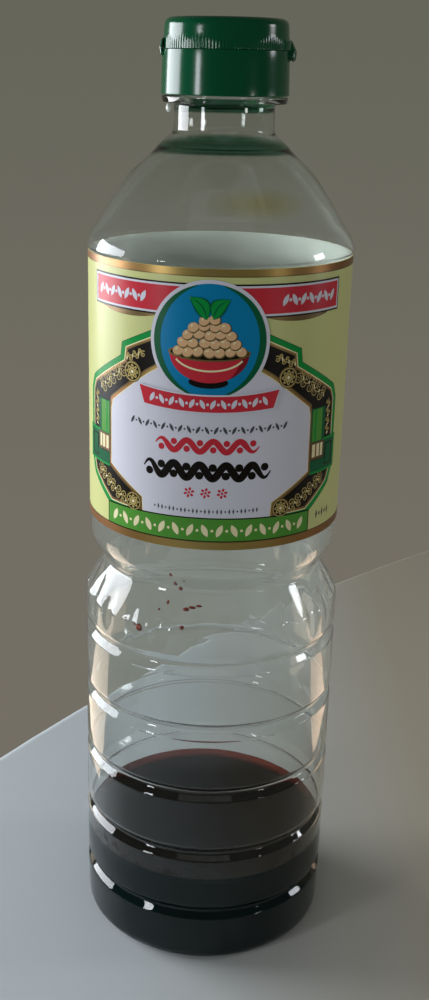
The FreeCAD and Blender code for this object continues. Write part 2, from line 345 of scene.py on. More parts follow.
def finish(name, base, **sockets):
    """A material of one Principled shader, with values straight on its sockets. Returns the material, its tree and
    its shader."""
    made = bpy.data.materials.new(name)
    made.use_nodes = True
    tree = made.node_tree
    shader = tree.nodes["Principled BSDF"]
    shader.inputs["Base Color"].default_value = (*base, 1.0)
    for key, value in sockets.items():
        shader.inputs[key.replace("_", " ")].default_value = value
    return made, tree, shader


def relief(tree, shader, size, strength, distance, detail=2.0, stretch=(1.0, 1.0, 1.0)):
    """A noise bump on object coordinates. size is the width of its lumps in metres."""
    place = node(tree, "ShaderNodeTexCoord")
    turned_place = node(tree, "ShaderNodeMapping", {"Scale": stretch}, Vector=(place, "Object"))
    noise = node(
        tree, "ShaderNodeTexNoise", {"Scale": 1.0 / size, "Detail": detail, "Roughness": 0.5},
        Vector=(turned_place, "Vector")
    )
    bump = node(tree, "ShaderNodeBump", {"Strength": strength, "Distance": distance}, Height=(noise, "Fac"))
    tree.links.new(bump.outputs["Normal"], shader.inputs["Normal"])


def blown_pet():
    """Stretch-blown PET: water-clear and glossy, with slow waves in the wall that break up the highlights, painted
    green in the collar under the support ring and in the thick step, standing in for the cap seen through the thick
    plastic, a faint yellowish patch on the front of the shoulder, and a light haze on the wall above the sauce."""
    clear = linear("#f3f6f4")
    made, tree, shader = finish("PET, stretch-blown", clear, Transmission_Weight=1.0, IOR=1.42, Roughness=0.012)
    relief(tree, shader, 9.0 * MM, 0.25, 0.25 * MM, detail=1.5, stretch=(1.0, 1.0, 0.6))
    place = node(tree, "ShaderNodeTexCoord")
    under = {}
    # Colour patches: the first two are painted green for the cap seen through the thick plastic; the third is a faint
    # yellowish patch
    for centre, reach, full, shade in (
        ((0.0, 0.0, 248.6), (90.0, 90.0, 2.0), 0.4, "#6fa48c"),
        ((0.0, 0.0, 258.4), (90.0, 90.0, 1.2), 0.4, "#6fa48c"),
        ((11.6, -28.7, 235.5), (17.0, 12.0, 4.6), 0.1, "#e6e2b4"),
    ):
        moved = {"operation": "SUBTRACT", 1: tuple(c * MM for c in centre)}
        away = node(tree, "ShaderNodeVectorMath", moved, _0=(place, "Object"))
        shrunk = {"operation": "DIVIDE", 1: tuple(c * MM for c in reach)}
        scaled = node(tree, "ShaderNodeVectorMath", shrunk, _0=(away, "Vector"))
        distance = node(tree, "ShaderNodeVectorMath", {"operation": "LENGTH"}, _0=(scaled, "Vector"))
        share = node(tree, "ShaderNodeMapRange", {"From Min": 1.0, "From Max": full}, Value=(distance, "Value"))
        colours = {"data_type": "RGBA", 6: (*clear, 1.0), 7: (*linear(shade), 1.0)}
        tint = node(tree, "ShaderNodeMix", colours, _0=(share, "Result"), **under)
        under = {"_6": (tint, 2)}
    tree.links.new(tint.outputs[2], shader.inputs["Base Color"])
    apart = node(tree, "ShaderNodeSeparateXYZ", Vector=(place, "Object"))
    clearest = None
    for bottom, top, first, last in ((70.0, 98.0, 1.0, 0.93), (112.0, 150.0, 0.93, 0.98), (222.0, 246.0, 0.984, 1.0)):
        settings = {"From Min": bottom * MM, "From Max": top * MM, "To Min": first, "To Max": last}
        here = (node(tree, "ShaderNodeMapRange", settings, Value=(apart, "Z")), "Result")
        if clearest:
            here = (node(tree, "ShaderNodeMath", {"operation": "MAXIMUM"}, _0=clearest, _1=here), "Value")
        clearest = here
    tree.links.new(clearest[0].outputs[clearest[1]], shader.inputs["Transmission Weight"])
    return made


def brewed_sauce(settings, rim):
    """Soy sauce in bulk: so dark that it reads as black, with a wet surface, and a red-brown edge at the back where
    it thins out at the wall."""
    made, tree, shader = finish(
        "Soy sauce, still surface", tuple(settings.deep), Roughness=0.05, IOR=1.38, Specular_IOR_Level=0.08
    )
    place = node(tree, "ShaderNodeTexCoord")
    flat = node(tree, "ShaderNodeVectorMath", {"operation": "MULTIPLY", 1: (1.0, 1.0, 0.0)}, _0=(place, "Object"))
    reach = node(tree, "ShaderNodeVectorMath", {"operation": "LENGTH"}, _0=(flat, "Vector"))
    near_rim = {"From Min": rim - 3.4 * MM, "From Max": rim - 0.8 * MM}
    edge = node(tree, "ShaderNodeMapRange", near_rim, Value=(reach, "Value"))
    apart = node(tree, "ShaderNodeSeparateXYZ", Vector=(place, "Object"))
    far = node(tree, "ShaderNodeMapRange", {"From Min": 8.0 * MM, "From Max": 34.0 * MM}, Value=(apart, "Y"))
    share = node(tree, "ShaderNodeMath", {"operation": "MULTIPLY"}, _0=(edge, "Result"), _1=(far, "Result"))
    colours = {"data_type": "RGBA", 6: (*settings.deep, 1.0), 7: (*settings.thin, 1.0)}
    mix = node(tree, "ShaderNodeMix", colours, _0=(share, "Value"))
    tree.links.new(mix.outputs[2], shader.inputs["Base Color"])
    return made


def sauce_against_wall(settings):
    """Soy sauce seen through the wall it wets: black, with no second gloss of its own under the plastic's."""
    made, _, _ = finish("Soy sauce, against the wall", linear("#020f0f"), Roughness=0.6, Specular_IOR_Level=0.0)
    return made


def gravure_ink(name, base, roughness=0.3):
    """Gravure ink under a film laminate: flat colour with an even satin gloss and the film's faint ripple."""
    made, tree, shader = finish(name, base, Roughness=roughness, IOR=1.5, Specular_IOR_Level=0.12)
    relief(tree, shader, 6.0 * MM, 0.12, 0.2 * MM)
    return made


def metal_ink(name, light, dark):
    """Gold gravure ink: olive gold in the middle, with painted shade that turns it darker bronze towards the sides of
    the front and back, and a soft metallic sheen."""
    made, tree, shader = finish(name, light, Roughness=0.34, Metallic=0.6)
    place = node(tree, "ShaderNodeTexCoord")
    apart = node(tree, "ShaderNodeSeparateXYZ", Vector=(place, "Object"))
    sideways = node(tree, "ShaderNodeMath", {"operation": "ABSOLUTE"}, _0=(apart, "X"))
    # Painted shade: the darker colour's share grows with the distance from the middle of the front and back
    share = node(tree, "ShaderNodeMapRange", {"From Min": 8.0 * MM, "From Max": 30.0 * MM}, Value=(sideways, "Value"))
    colours = {"data_type": "RGBA", 6: (*light, 1.0), 7: (*dark, 1.0)}
    mix = node(tree, "ShaderNodeMix", colours, _0=(share, "Result"))
    tree.links.new(mix.outputs[2], shader.inputs["Base Color"])
    return made


def moulded_cap(settings):
    """Injection-moulded polypropylene: deep green, glossy, with a very slight orange peel. Every piece of the cap
    shares it, so it is made once."""
    name = "Polypropylene, moulded green"
    if name in bpy.data.materials:
        return bpy.data.materials[name]
    made, tree, shader = finish(name, tuple(settings.green), Roughness=0.16, IOR=1.49, Specular_IOR_Level=0.36)
    relief(tree, shader, 2.5 * MM, 0.08, 0.08 * MM)
    return made


# ---------------------------------------------------------------- the bottle

def body_corners(b):
    """Corners of the outside from the middle of the base to the step under the neck."""
    corners = [
        (0.0, b.push_up, 0.0),
        (13.5 * MM, b.push_up, 14.0 * MM),
        (30.0 * MM, 0.0, 1.4 * MM),
        (b.band - 0.4 * MM, 0.0, 5.0 * MM),
    ]
    for index in range(b.groove_count):
        middle = b.groove_first + index * b.groove_pitch
        corners += [
            (b.band, middle - b.groove_half, 1.5 * MM),
            (b.band - b.groove_depth, middle, 1.3 * MM),
            (b.band, middle + b.groove_half, 1.5 * MM),
        ]
    corners += [
        (b.band, b.fluted_top, 4.5 * MM),
        (b.waist, b.waist_height, 2.4 * MM),
        (b.panel, b.panel_bottom, 9.0 * MM),
        (b.panel, b.panel_top - 2 * b.ridge, 0.5 * MM),
        (b.panel + b.ridge, b.panel_top, 0.8 * MM),
        (b.panel - 0.1 * MM, b.panel_top + 2.8 * MM, 9.0 * MM),
        (b.knee, b.knee_height, 28.0 * MM),
        (b.step, b.step_height, 0.8 * MM),
    ]
    return corners


def fluted(b):
    """A function that presses the upright hollows into the body: each is depth times (1 - q) squared times (1 +
    2q), where q is the distance from its middle as a share of the oval's edge, so the hollow is smooth and has a
    clear rim."""
    middle = b.fluted_top - 0.3 * MM

    def shape(angle, radius, height):
        pitch = FULL_TURN / b.flute_count
        across = (np.mod(angle, pitch) - pitch / 2) * radius / (b.flute_width / 2)
        up = (height - middle) / (b.flute_height / 2)
        q = np.clip(np.sqrt(np.clip(across ** 2 + up ** 2, 0, None)), 0, 1)
        return radius - b.flute_depth * (1 - q) ** 2 * (1 + 2 * q) * (radius > 0.8 * b.waist)
    return shape


def body_profile(b):
    """The outside of the body as points, with rows added on the plain run where the upright hollows begin."""
    whole = rounded_profile(body_corners(b))
    rows = 7
    extra = np.linspace(b.fluted_top - 8.6 * MM, b.fluted_top - 3.2 * MM, rows)
    start = int(np.argmax((whole[:, 1] > extra[0] - 0.5 * MM) & (whole[:, 0] > b.waist)))
    end = int(np.argmax((whole[:, 1] > extra[-1]) & (np.arange(len(whole)) >= start)))
    return np.concatenate([whole[:start], np.stack([np.full(rows, b.band), extra], 1), whole[end:]])


class SAUCEBOTTLE_OT_bottle(bpy.types.Operator):
    """Make the blown bottle: a thin closed shell with ring grooves, a fluted band, a waist, a label panel and a
    neck"""
    bl_idname = "saucebottle.bottle"
    bl_label = "Bottle"

    def execute(self, context):
        b = context.scene.bottle_sizes
        body = body_profile(b)
        neck_outside = rounded_profile([
            (b.step, b.step_height, 0.0),
            (b.step - 0.8 * MM, b.step_height + 1.0 * MM, 1.0 * MM),
            (b.neck, b.neck_bottom, 2.2 * MM),
            (b.neck, b.ring_bottom, 0.6 * MM),
            (b.ring - 0.4 * MM, b.ring_bottom + 0.3 * MM, 0.4 * MM),
            (b.ring, b.ring_top, 0.4 * MM),
            (b.neck, b.ring_top, 0.0),
            (b.neck, b.mouth, 0.4 * MM),
            (b.neck_bore, b.mouth, 0.4 * MM),
            (b.neck_bore, b.ring_bottom + 0.8 * MM, 1.5 * MM),
            (b.neck - 0.8 * MM, b.ring_bottom - 1.4 * MM, 1.5 * MM),
            (b.neck - 0.8 * MM, b.neck_bottom - 0.2 * MM, 2.4 * MM),
            (b.step - 1.2 * MM, b.step_height + 0.35 * MM, 0.8 * MM),
            (b.step + 0.5 * MM, b.step_height - 0.95 * MM, 0.0),
        ])[1:]
        inside = parallel(body, b.wall)
        inside = inside[: int(np.argmax((inside[:, 1] > b.knee_height) & (inside[:, 0] < b.step + 1.6 * MM))) or None]
        inside[0] = (0.0, b.push_up + b.wall)
        profile = np.concatenate([body, neck_outside, inside[::-1]])
        mesh = shell_of("bottle_blown", profile, BOTTLE_STEPS, fluted(b))
        thing = piece("bottle_blown", mesh, "root", [blown_pet()], ["bottle"])
        thing.visible_shadow = False
        return {"FINISHED"}


class SAUCEBOTTLE_OT_sauce(bpy.types.Operator):
    """Make the sauce up to its level, with a meniscus and sides that reach just into the wall"""
    bl_idname = "saucebottle.sauce"
    bl_label = "Sauce"

    def execute(self, context):
        b, s = context.scene.bottle_sizes, context.scene.sauce_settings
        body = rounded_profile(body_corners(b), step=2.0 * MM)
        side = parallel(body, b.wall - s.overlap)
        side = side[: np.argmax(side[:, 1] > s.level + s.creep)]
        side[0] = (0.0, b.push_up + b.wall - s.overlap)
        rim = side[-1, 0]
        reach = np.concatenate([np.linspace(0, 6, 13)[1:], np.linspace(6, 37, 9)[1:]]) * MM
        radius = np.append(rim - reach, 0.0)
        height = s.level + (side[-1, 1] - s.level) * np.exp(-np.append(reach, rim) / (1.3 * MM))
        profile = np.concatenate([side, np.stack([radius, height], 1)])
        points, faces = turned(profile, SAUCE_STEPS)
        mesh = mesh_of("sauce_left", points, faces)
        height_of = points[:, 2]
        radius_of = np.hypot(points[:, 0], points[:, 1])
        slots = []
        for polygon in faces:
            z, r = height_of[polygon].mean(1), radius_of[polygon].mean(1)
            slots.append(np.where((z > s.level - 0.01 * MM) & (r < rim - 0.02 * MM), 0, 1))
        mesh.polygons.foreach_set("material_index", np.concatenate(slots).astype(np.int32))
        piece("sauce_left", mesh, "root", [brewed_sauce(s, rim), sauce_against_wall(s)], ["sauce"])
        return {"FINISHED"}


# ---------------------------------------------------------------- the label

def mirrored(right):
    """A closed outline from its right half, given from the top downwards."""
    right = np.asarray(right, dtype=float)
    return np.concatenate([right, (right * (-1, 1))[::-1]])


def inset(outline, distance):
    """A polygon with every side moved inwards by a distance; the outline runs clockwise."""
    ahead = np.roll(outline, -1, axis=0) - outline
    ahead /= np.linalg.norm(ahead, axis=1)[:, None]
    inward = np.stack([ahead[:, 1], -ahead[:, 0]], 1)
    start = outline + inward * distance
    before_start, before = np.roll(start, 1, axis=0), np.roll(ahead, 1, axis=0)
    cross = before[:, 0] * ahead[:, 1] - before[:, 1] * ahead[:, 0]
    gap = start - before_start
    in_line = np.abs(cross) < 1e-6
    share = (gap[:, 0] * ahead[:, 1] - gap[:, 1] * ahead[:, 0]) / np.where(in_line, 1.0, cross)
    return np.where(in_line[:, None], start, before_start + before * share[:, None])


def placed(x, y, middle, lean):
    """Points (x, y) turned by an angle and moved to a middle point."""
    across = middle[0] + x * math.cos(lean) - y * math.sin(lean)
    up = middle[1] + x * math.sin(lean) + y * math.cos(lean)
    return np.stack([across, up], 1)


def oval(middle, across, up, lean=0.0, count=36):
    """An ellipse about a middle point, leaning by an angle."""
    a = -np.arange(count) / count * FULL_TURN
    return placed(across * np.cos(a), up * np.sin(a), middle, lean)


def box(left, right, low, high):
    """The corners of an upright rectangle, from its top left round to its lower left."""
    return np.array([(left, high), (right, high), (right, low), (left, low)])


class Print:
    """Flat shapes in one ink, gathered as triangles on the label's front and wrapped round the bottle when the ink
    is finished. Places are (across, up) in metres from the middle of the label's lower edge."""

    def __init__(self):
        self.points, self.faces, self.count = [], [], 0

    def between(self, outer, inner, lift, closed=True):
        """The area between two lines with as many points: outer plus t times (inner minus outer) for equal steps of
        t from 0 to 1."""
        outer, inner = np.asarray(outer, float), np.broadcast_to(np.asarray(inner, float), np.shape(outer))
        rows = 1 + max(1, int(math.ceil(np.linalg.norm(outer - inner, axis=1).max() / (1.5 * MM))))
        t = np.linspace(0, 1, rows)[:, None, None]
        flat = (outer + (inner - outer) * t).reshape(-1, 2)
        quads = grid_faces(rows, len(outer), around=closed, first=self.count)
        if np.ptp(inner, axis=0).max() < 1e-12:
            tip = quads[-(len(quads) // (rows - 1)):]
            quads = quads[:len(quads) - len(tip)]
            self.faces.append(tip[:, :3].copy())
            self.faces[-1][:, 2] = self.count + (rows - 1) * len(outer)
        self.faces.append(quads)
        self.points.append(np.column_stack([flat, np.full(len(flat), lift)]))
        self.count += len(flat)

    def fill(self, outline, lift, middle=None):
        """A whole shape that can be seen from its middle."""
        outline = np.asarray(outline, float)
        self.between(outline, outline.mean(0) if middle is None else middle, lift)

    def line(self, path, width, lift):
        """A line along an open path: the path plus and minus half the width, or widths, along its normal."""
        path = np.asarray(path, float)
        ahead = np.gradient(path, axis=0)
        ahead /= np.linalg.norm(ahead, axis=1)[:, None]
        normal = np.stack([-ahead[:, 1], ahead[:, 0]], 1) * (np.asarray(width) / 2 * np.ones(len(path)))[:, None]
        self.between(path + normal, path - normal, lift, closed=False)

    def wrap(self, name, label, material):
        """Rolls the flat shapes round the bottle: the angle is the distance across over the radius. Each face is
        turned to look outwards, and points that no face uses are left out."""
        flat = np.concatenate(self.points)
        radius = label.radius + flat[:, 2]
        angle = flat[:, 0] / label.radius + label.turn
        points = np.stack([radius * np.sin(angle), -radius * np.cos(angle), flat[:, 1] + label.bottom], 1)
        outward = []
        for sides in (4, 3):
            group = np.concatenate([np.empty((0, sides), int)] + [f for f in self.faces if f.shape[1] == sides])
            a, b, c = (points[group[:, corner]] for corner in range(3))
            facing = np.einsum("ij,ij->i", np.cross(b - a, c - a)[:, :2], a[:, :2])
            outward.append(np.where(facing[:, None] < 0, group[:, ::-1], group))
        keep, fresh = np.unique(np.concatenate([g.reshape(-1) for g in outward]), return_inverse=True)
        split = outward[0].size
        faces = [fresh[:split].reshape(-1, 4), fresh[split:].reshape(-1, 3)]
        piece(name, mesh_of(name, points[keep], faces), "root", [material])


def frame_outline(shrink=0.0):
    """The stepped outline of the ornamental frame, as its right half mirrored, and moved inwards by shrink."""
    whole = mirrored(np.array([
        (5.0, 66.0), (26.5, 56.4), (27.0, 52.6), (42.0, 44.2), (43.9, 40.4), (43.9, 20.0), (41.7, 15.2), (31.6, 8.0),
    ]) * MM)
    return inset(whole, shrink) if shrink else whole


def panel_outline(grow=0.0):
    """The eight-sided middle panel, moved outwards by grow."""
    whole = mirrored(np.array([
        (9.0, 53.5), (17.0, 48.8), (30.0, 39.2), (30.6, 36.8), (30.7, 21.0), (18.4, 13.8), (18.0, 8.5),
    ]) * MM)
    return inset(whole, -grow) if grow else whole


def row_places(left, right, count, height, bow=0.0, reach=1.0):
    """Places at equal steps along a row, in millimetres: height plus bow times the square of across over reach."""
    across = np.linspace(left, right, count)
    return np.column_stack([across, height + bow * (across / reach) ** 2])


LAYER = 0.022 * MM
SEAM_HALF, SEAM_LINE = 3.5 * MM, 0.35 * MM
# Painted shade: darker colours that the gold and bronze inks turn to towards the bottle's sides
GOLD_PAINTED_SIDE_SHADE, BRONZE_PAINTED_SIDE_SHADE = "#85592b", "#5b4526"

# The frame's side ornaments: ink, left, right, low and high edge in millimetres, and layer
SIDE_BLOCKS = (
    ("forest", 31.6, 38.1, 28.8, 38.7, 5), ("bar", 32.3, 37.6, 29.0, 38.4, 6), ("leaf", 33.2, 34.0, 29.0, 38.4, 7),
    ("forest", 36.6, 37.6, 29.0, 38.4, 7), ("forest", 37.4, 44.6, 19.6, 29.4, 5), ("leaf", 37.4, 44.6, 28.6, 29.3, 6),
    ("leaf", 43.6, 44.4, 20.0, 29.3, 6), ("black", 38.6, 42.8, 21.0, 27.6, 6), ("forest", 39.2, 42.2, 21.4, 27.2, 7),
    ("forest", 32.0, 44.4, 19.4, 23.4, 6), (
        "bronze", 31.8, 38.2, 23.6, 28.8, 7
    ), ("cream", 32.6, 37.4, 24.4, 28.2, 8),
    ("gold", 33.9, 34.5, 24.4, 28.2, 9), ("bronze", 35.8, 36.2, 24.4, 28.2, 9), ("leaf", 32.0, 44.0, 19.4, 20.0, 7),
)

# Runs of scrollwork: start, end, number of pairs of spirals, and width, in millimetres
SCROLL_RUNS = (
    ((25.6, 49.6), (36.6, 42.0), 5, 4.9), ((39.6, 40.6), (39.6, 30.4), 4, 2.3),
    ((38.4, 18.4), (24.8, 10.9), 6, 4.3), ((18.4, 55.0), (24.6, 52.4), 3, 2.6),
)


class SAUCEBOTTLE_OT_label(bpy.types.Operator):
    """Make the wrapped film: a thin sleeve with a pale printed outside and a plain inside"""
    bl_idname = "saucebottle.label"
    bl_label = "Label film"

    def execute(self, context):
        s = context.scene.label_settings
        inner, top = s.radius - s.thickness, s.bottom + s.height
        section = rounded_profile([
            (inner, s.bottom, 0.0), (s.radius, s.bottom, 0.06 * MM), (s.radius, top, 0.06 * MM), (inner, top, 0.0),
            (inner, s.bottom, 0.0),
        ], step=8.0 * MM)[:-1]
        mesh = shell_of("label_film", section, LABEL_STEPS, closed=True)
        places = np.empty(len(mesh.vertices) * 3, dtype=np.float32)
        mesh.vertices.foreach_get("co", places)
        distance = np.hypot(places[0::3], places[1::3])
        corners = np.empty(len(mesh.loops), dtype=np.int32)
        mesh.loops.foreach_get("vertex_index", corners)
        inside = distance[corners.reshape(-1, 4)].max(1) < inner + 0.05 * MM
        mesh.polygons.foreach_set("material_index", inside.astype(np.int32))
        ground = gravure_ink("Film, printed pale green", tuple(s.ground))
        lining = gravure_ink("Film, unprinted inside", linear("#ccd2c8"), roughness=0.45)
        piece("label_film", mesh, "root", [ground, lining], ["label"])
        return {"FINISHED"}


class SAUCEBOTTLE_OT_print(bpy.types.Operator):
    """Print the label: edge bands, banner, round picture, ribbon, framed panel, scrollwork, rows of beads and the
    lower bar"""
    bl_idname = "saucebottle.print"
    bl_label = "Label print"

    def execute(self, context):
        s = context.scene.label_settings
        inks = {name: Print() for name in (
            "gold", "bronze", "cream", "gilt", "maroon", "red", "blue", "panel", "leaf", "bar", "forest", "black",
            "grey", "bean",
        )}
        self.bands(inks, s)
        self.frame(inks)
        self.rows(inks)
        self.banner(inks)
        self.medallion(inks)
        self.seam(s)
        for name, ink in inks.items():
            base = tuple(getattr(s, name))
            if name in ("gold", "bronze"):
                # The metal inks darken towards the sides with painted shade
                dark = linear(GOLD_PAINTED_SIDE_SHADE if name == "gold" else BRONZE_PAINTED_SIDE_SHADE)
                material = metal_ink("Gravure ink, " + name, base, dark)
            else:
                material = gravure_ink("Gravure ink, " + name, base)
            ink.wrap("print_" + name, s, material)
        return {"FINISHED"}

    def seam(self, s):
        """The overlap at the back: a thin darker line along each of its edges, from the bottom to the top."""
        seam, back = Print(), math.pi * s.radius
        height = np.linspace(0, 1, 80) * s.height
        for across in (back - SEAM_HALF, back + SEAM_HALF):
            edge = np.column_stack([np.full(80, across), height])
            seam.between(edge + (-SEAM_LINE, 0), edge + (SEAM_LINE, 0), 3 * LAYER, closed=False)
        shade = tuple(c * 0.72 for c in s.ground)
        seam.wrap("label_seam", s, gravure_ink("Film, welded overlap", shade, roughness=0.4))

    def bands(self, inks, s):
        """Gold bands along both edges, all the way round, with a fine darker line inside each."""
        across = np.linspace(-0.5, 0.5, 361) * FULL_TURN * s.radius
        for low, high, ink in (
            (76.5, 78.35, "gold"), (76.2, 76.5, "bronze"), (0.05, 2.3, "gold"), (2.3, 2.6, "bronze")
        ):
            top, bottom = (np.column_stack([across, np.full(361, v * MM)]) for v in (high, low))
            inks[ink].between(top, bottom, LAYER, closed=False)

    def frame(self, inks):
        """The frame: a green outline, a cream line, a gold border, a black band with scrolls, and the cool white
        panel in a bronze border."""
        plain, flat = frame_outline(), panel_outline()
        heart = (0.0, 30.0 * MM)
        for ink, start, end in (
            ("leaf", 0.0, 1.45), ("cream", 1.45, 1.75), ("gold", 1.75, 2.15), ("bronze", 2.15, 2.5), (
                "forest", -0.2, 0.0
            ),
        ):
            outer, inner = (self.dense(frame_outline(shrink * MM), plain) for shrink in (start, end))
            inks[ink].between(outer, inner, LAYER)
        inks["black"].fill(self.dense(frame_outline(2.5 * MM), plain), LAYER, middle=heart)
        for ink, grow, lift in (("bronze", 1.7, 4), ("gold", 1.25, 5), ("cream", 0.6, 6), ("panel", 0.35, 7)):
            inks[ink].fill(self.dense(panel_outline(grow * MM), flat), lift * LAYER, middle=heart)
        self.scrolls(inks)
        self.brackets(inks)
        self.bar(inks)

    def bar(self, inks):
        """The lower bar: a green field in a black outline, bowed along its top, with a row of cream leaves."""
        half, middle, bow, low, wider = 32.2, 8.7, 0.6, 2.8, 1.012
        t = np.linspace(-1, 1, 70)
        top = np.column_stack([half * t, middle + bow * (1 - t ** 2)])
        foot = np.column_stack([half * t, np.full(70, low)])
        outline = (wider * MM, MM)
        inks["black"].between((top + (0, 0.35)) * outline, (foot - (0, 0.3)) * outline, 9 * LAYER, closed=False)
        inks["bar"].between(top * MM, foot * MM, 10 * LAYER, closed=False)
        self.leaf_row(inks["cream"], row_places(-29.0, 29.0, 29, 5.85), (2.0, 0.85), 0.42, 24, 11)

    def leaf_row(self, ink, places, leaf, dot, lean, layer, count=12):
        """A row of pointed leaves that lean to and fro by an angle in degrees, with a round dot between each two.
        The leaf is (half length, half width) and the dot a radius, in millimetres."""
        for index, (u, v) in enumerate(places):
            if index % 2:
                ink.fill(oval((u * MM, v * MM), dot * MM, dot * MM, count=count), layer * LAYER)
            else:
                tilt = math.radians(90 + (lean if index % 4 else -lean))
                ink.fill(self.leaf((u, v), *leaf, tilt), layer * LAYER)

    def leaf(self, middle, reach, half, lean):
        """A pointed leaf, in millimetres: its half width times a power of the cosine along its length."""
        t = np.linspace(-1, 1, 13)
        edge = half * np.cos(t * math.pi / 2) ** 0.8
        x = np.concatenate([t, t[::-1][1:-1]]) * reach
        y = np.concatenate([edge, -edge[::-1][1:-1]])
        return placed(x, y, middle, lean) * MM

    def dense(self, outline, like=None):
        """Each side of a polygon in equal parts about a millimetre long, as many as the same polygon before it was
        moved inwards has."""
        like = outline if like is None else like
        sides = np.linalg.norm(np.roll(like, -1, axis=0) - like, axis=1)
        counts = np.maximum(1, np.ceil(sides / (1.0 * MM))).astype(int)
        side = np.repeat(np.arange(len(outline)), counts)
        t = (np.arange(counts.sum()) - np.repeat(np.cumsum(counts) - counts, counts)) / counts[side]
        return outline[side] + (np.roll(outline, -1, axis=0) - outline)[side] * t[:, None]

    def scrolls(self, inks):
        """Gold filigree on the black band: a waving stem, and off it spirals whose radius shrinks evenly with the
        angle, in pairs that turn opposite ways, with small leaves between; and a rosette at each corner of the
        panel."""
        for mirror in (-1.0, 1.0):
            for start, end, count, width in SCROLL_RUNS:
                start, end = np.array(start), np.array(end)
                way = (end - start) / np.linalg.norm(end - start)
                normal = np.array([-way[1], way[0]])
                lean = math.atan2(normal[1], normal[0])
                for index in range(count):
                    for row, size, spin_from in ((-0.24, 0.27, 0.0), (0.26, 0.22, math.pi)):
                        middle = start + (end - start) * (index + 0.5 + row * 0.5) / count + normal * row * width
                        turn = 1.0 if (index + (row > 0)) % 2 else -1.0
                        t = np.linspace(0, 1, 30)
                        spin = turn * t * 1.5 * FULL_TURN + lean + spin_from
                        radius = width * size * (1 - 0.84 * t)
                        path = middle + np.stack([radius * np.cos(spin), radius * np.sin(spin)], 1)
                        inks["gilt"].line(path * (mirror * MM, MM), (0.3 - 0.16 * t) * MM, 2 * LAYER)
                    bud = self.leaf(start + (end - start) * (index + 0.98) / count, 0.62, 0.26, lean + 0.5)
                    inks["cream"].fill(bud * (mirror, 1), 3 * LAYER)
                t = np.linspace(0, 1, 60)
                swing = (0.16 * width * np.sin(t * math.pi * count))[:, None]
                wave = start + (end - start) * t[:, None] + normal * swing
                inks["gilt"].line(wave * (mirror * MM, MM), 0.26 * MM, 3 * LAYER)
            for place, size in (((22.5, 48.9), 3.0), ((21.9, 11.5), 2.8)):
                middle = np.array(place) * (mirror * MM, MM)
                for ink, share, lift in (("bronze", 1.0, 8), ("gilt", 0.9, 9), ("black", 0.8, 10)):
                    inks[ink].fill(oval(middle, size * share * MM, size * share * MM), lift * LAYER, middle=middle)
                for a in np.arange(8) * FULL_TURN / 8:
                    petal = middle + np.array([math.cos(a), math.sin(a)]) * (size * 0.46 * MM)
                    inks["gilt"].fill(oval(petal, size * 0.26 * MM, size * 0.16 * MM, lean=a, count=14), 11 * LAYER)
                    inks["black"].fill(oval(petal, size * 0.11 * MM, size * 0.06 * MM, lean=a, count=10), 12 * LAYER)
                inks["cream"].fill(oval(middle, size * 0.17 * MM, size * 0.17 * MM, count=14), 11 * LAYER)

    def brackets(self, inks):
        """A green post, a cream block and a dark green clasp on each side of the panel."""
        for mirror in (-1, 1):
            for ink, left, right, low, high, layer in SIDE_BLOCKS:
                block = box(left, right, low, high) * (mirror * MM, MM)
                inks[ink].fill(self.dense(block[::mirror]), layer * LAYER)

    def rows(self, inks):
        """Rows of leaves, beads, waves and lozenges across the panel."""
        def lozenge(ink, u, v, across, up, layer=8):
            corners = np.array([(0, up), (across, 0), (0, -up), (-across, 0)]) * MM + np.array([u, v]) * MM
            inks[ink].fill(corners, layer * LAYER)
        small = row_places(-22.2, 22.2, 37, 34.9, bow=0.7, reach=22.2)
        self.leaf_row(inks["grey"], small, (1.25, 0.42), 0.3, 28, 8, count=10)
        t = np.linspace(0, 1, 120)
        for ink, reach, middle, high, waves, width in (
            ("red", 14.6, 30.3, 1.5, 4, 1.75), ("black", 18.2, 23.1, 1.9, 5, 2.2)
        ):
            u = -reach + 2 * reach * t
            path = np.column_stack([u, middle + high * np.sin(t * waves * FULL_TURN)]) * MM
            inks[ink].line(path, width * np.minimum(1, 6 * np.minimum(t, 1 - t) + 0.15) * MM, 8 * LAYER)
            for index in range(2 * waves):
                centre = -reach + 2 * reach * (index + 0.5) / (2 * waves)
                up = -1 if index % 2 == 0 else 1
                place, half = (centre * MM, (middle + up * high * 0.62) * MM), width * 0.52 * MM
                inks[ink].fill(oval(place, half, half, count=18), 8 * LAYER)
        for u in (-4.6, 0.0, 4.6):
            for a in np.arange(6) * FULL_TURN / 6 + 0.3:
                petal = np.array([u + math.cos(a) * 1.05, 16.9 + math.sin(a) * 1.05]) * MM
                inks["red"].fill(oval(petal, 0.5 * MM, 0.36 * MM, lean=a, count=12), 8 * LAYER)
            inks["red"].fill(oval((u * MM, 16.9 * MM), 0.38 * MM, 0.38 * MM, count=12), 8 * LAYER)
        for index, u in enumerate(np.linspace(-14.6, 14.6, 27)):
            lozenge("grey", u, 11.5 + 0.35 * (u / 14.6) ** 2, 0.3, 0.85 if index % 3 else 0.4)
        for index in range(5):
            lozenge("grey", 36.4 + index * 1.5, 6.6, 0.42, 1.5 if index % 2 == 0 else 0.7, layer=3)

    def banner(self, inks):
        """The red banner behind the round picture: a black line, a white line, the red field and a soft brown
        shadow under its ends."""
        half, middle, low, high = 40.1, 0.9, 66.0, 74.0

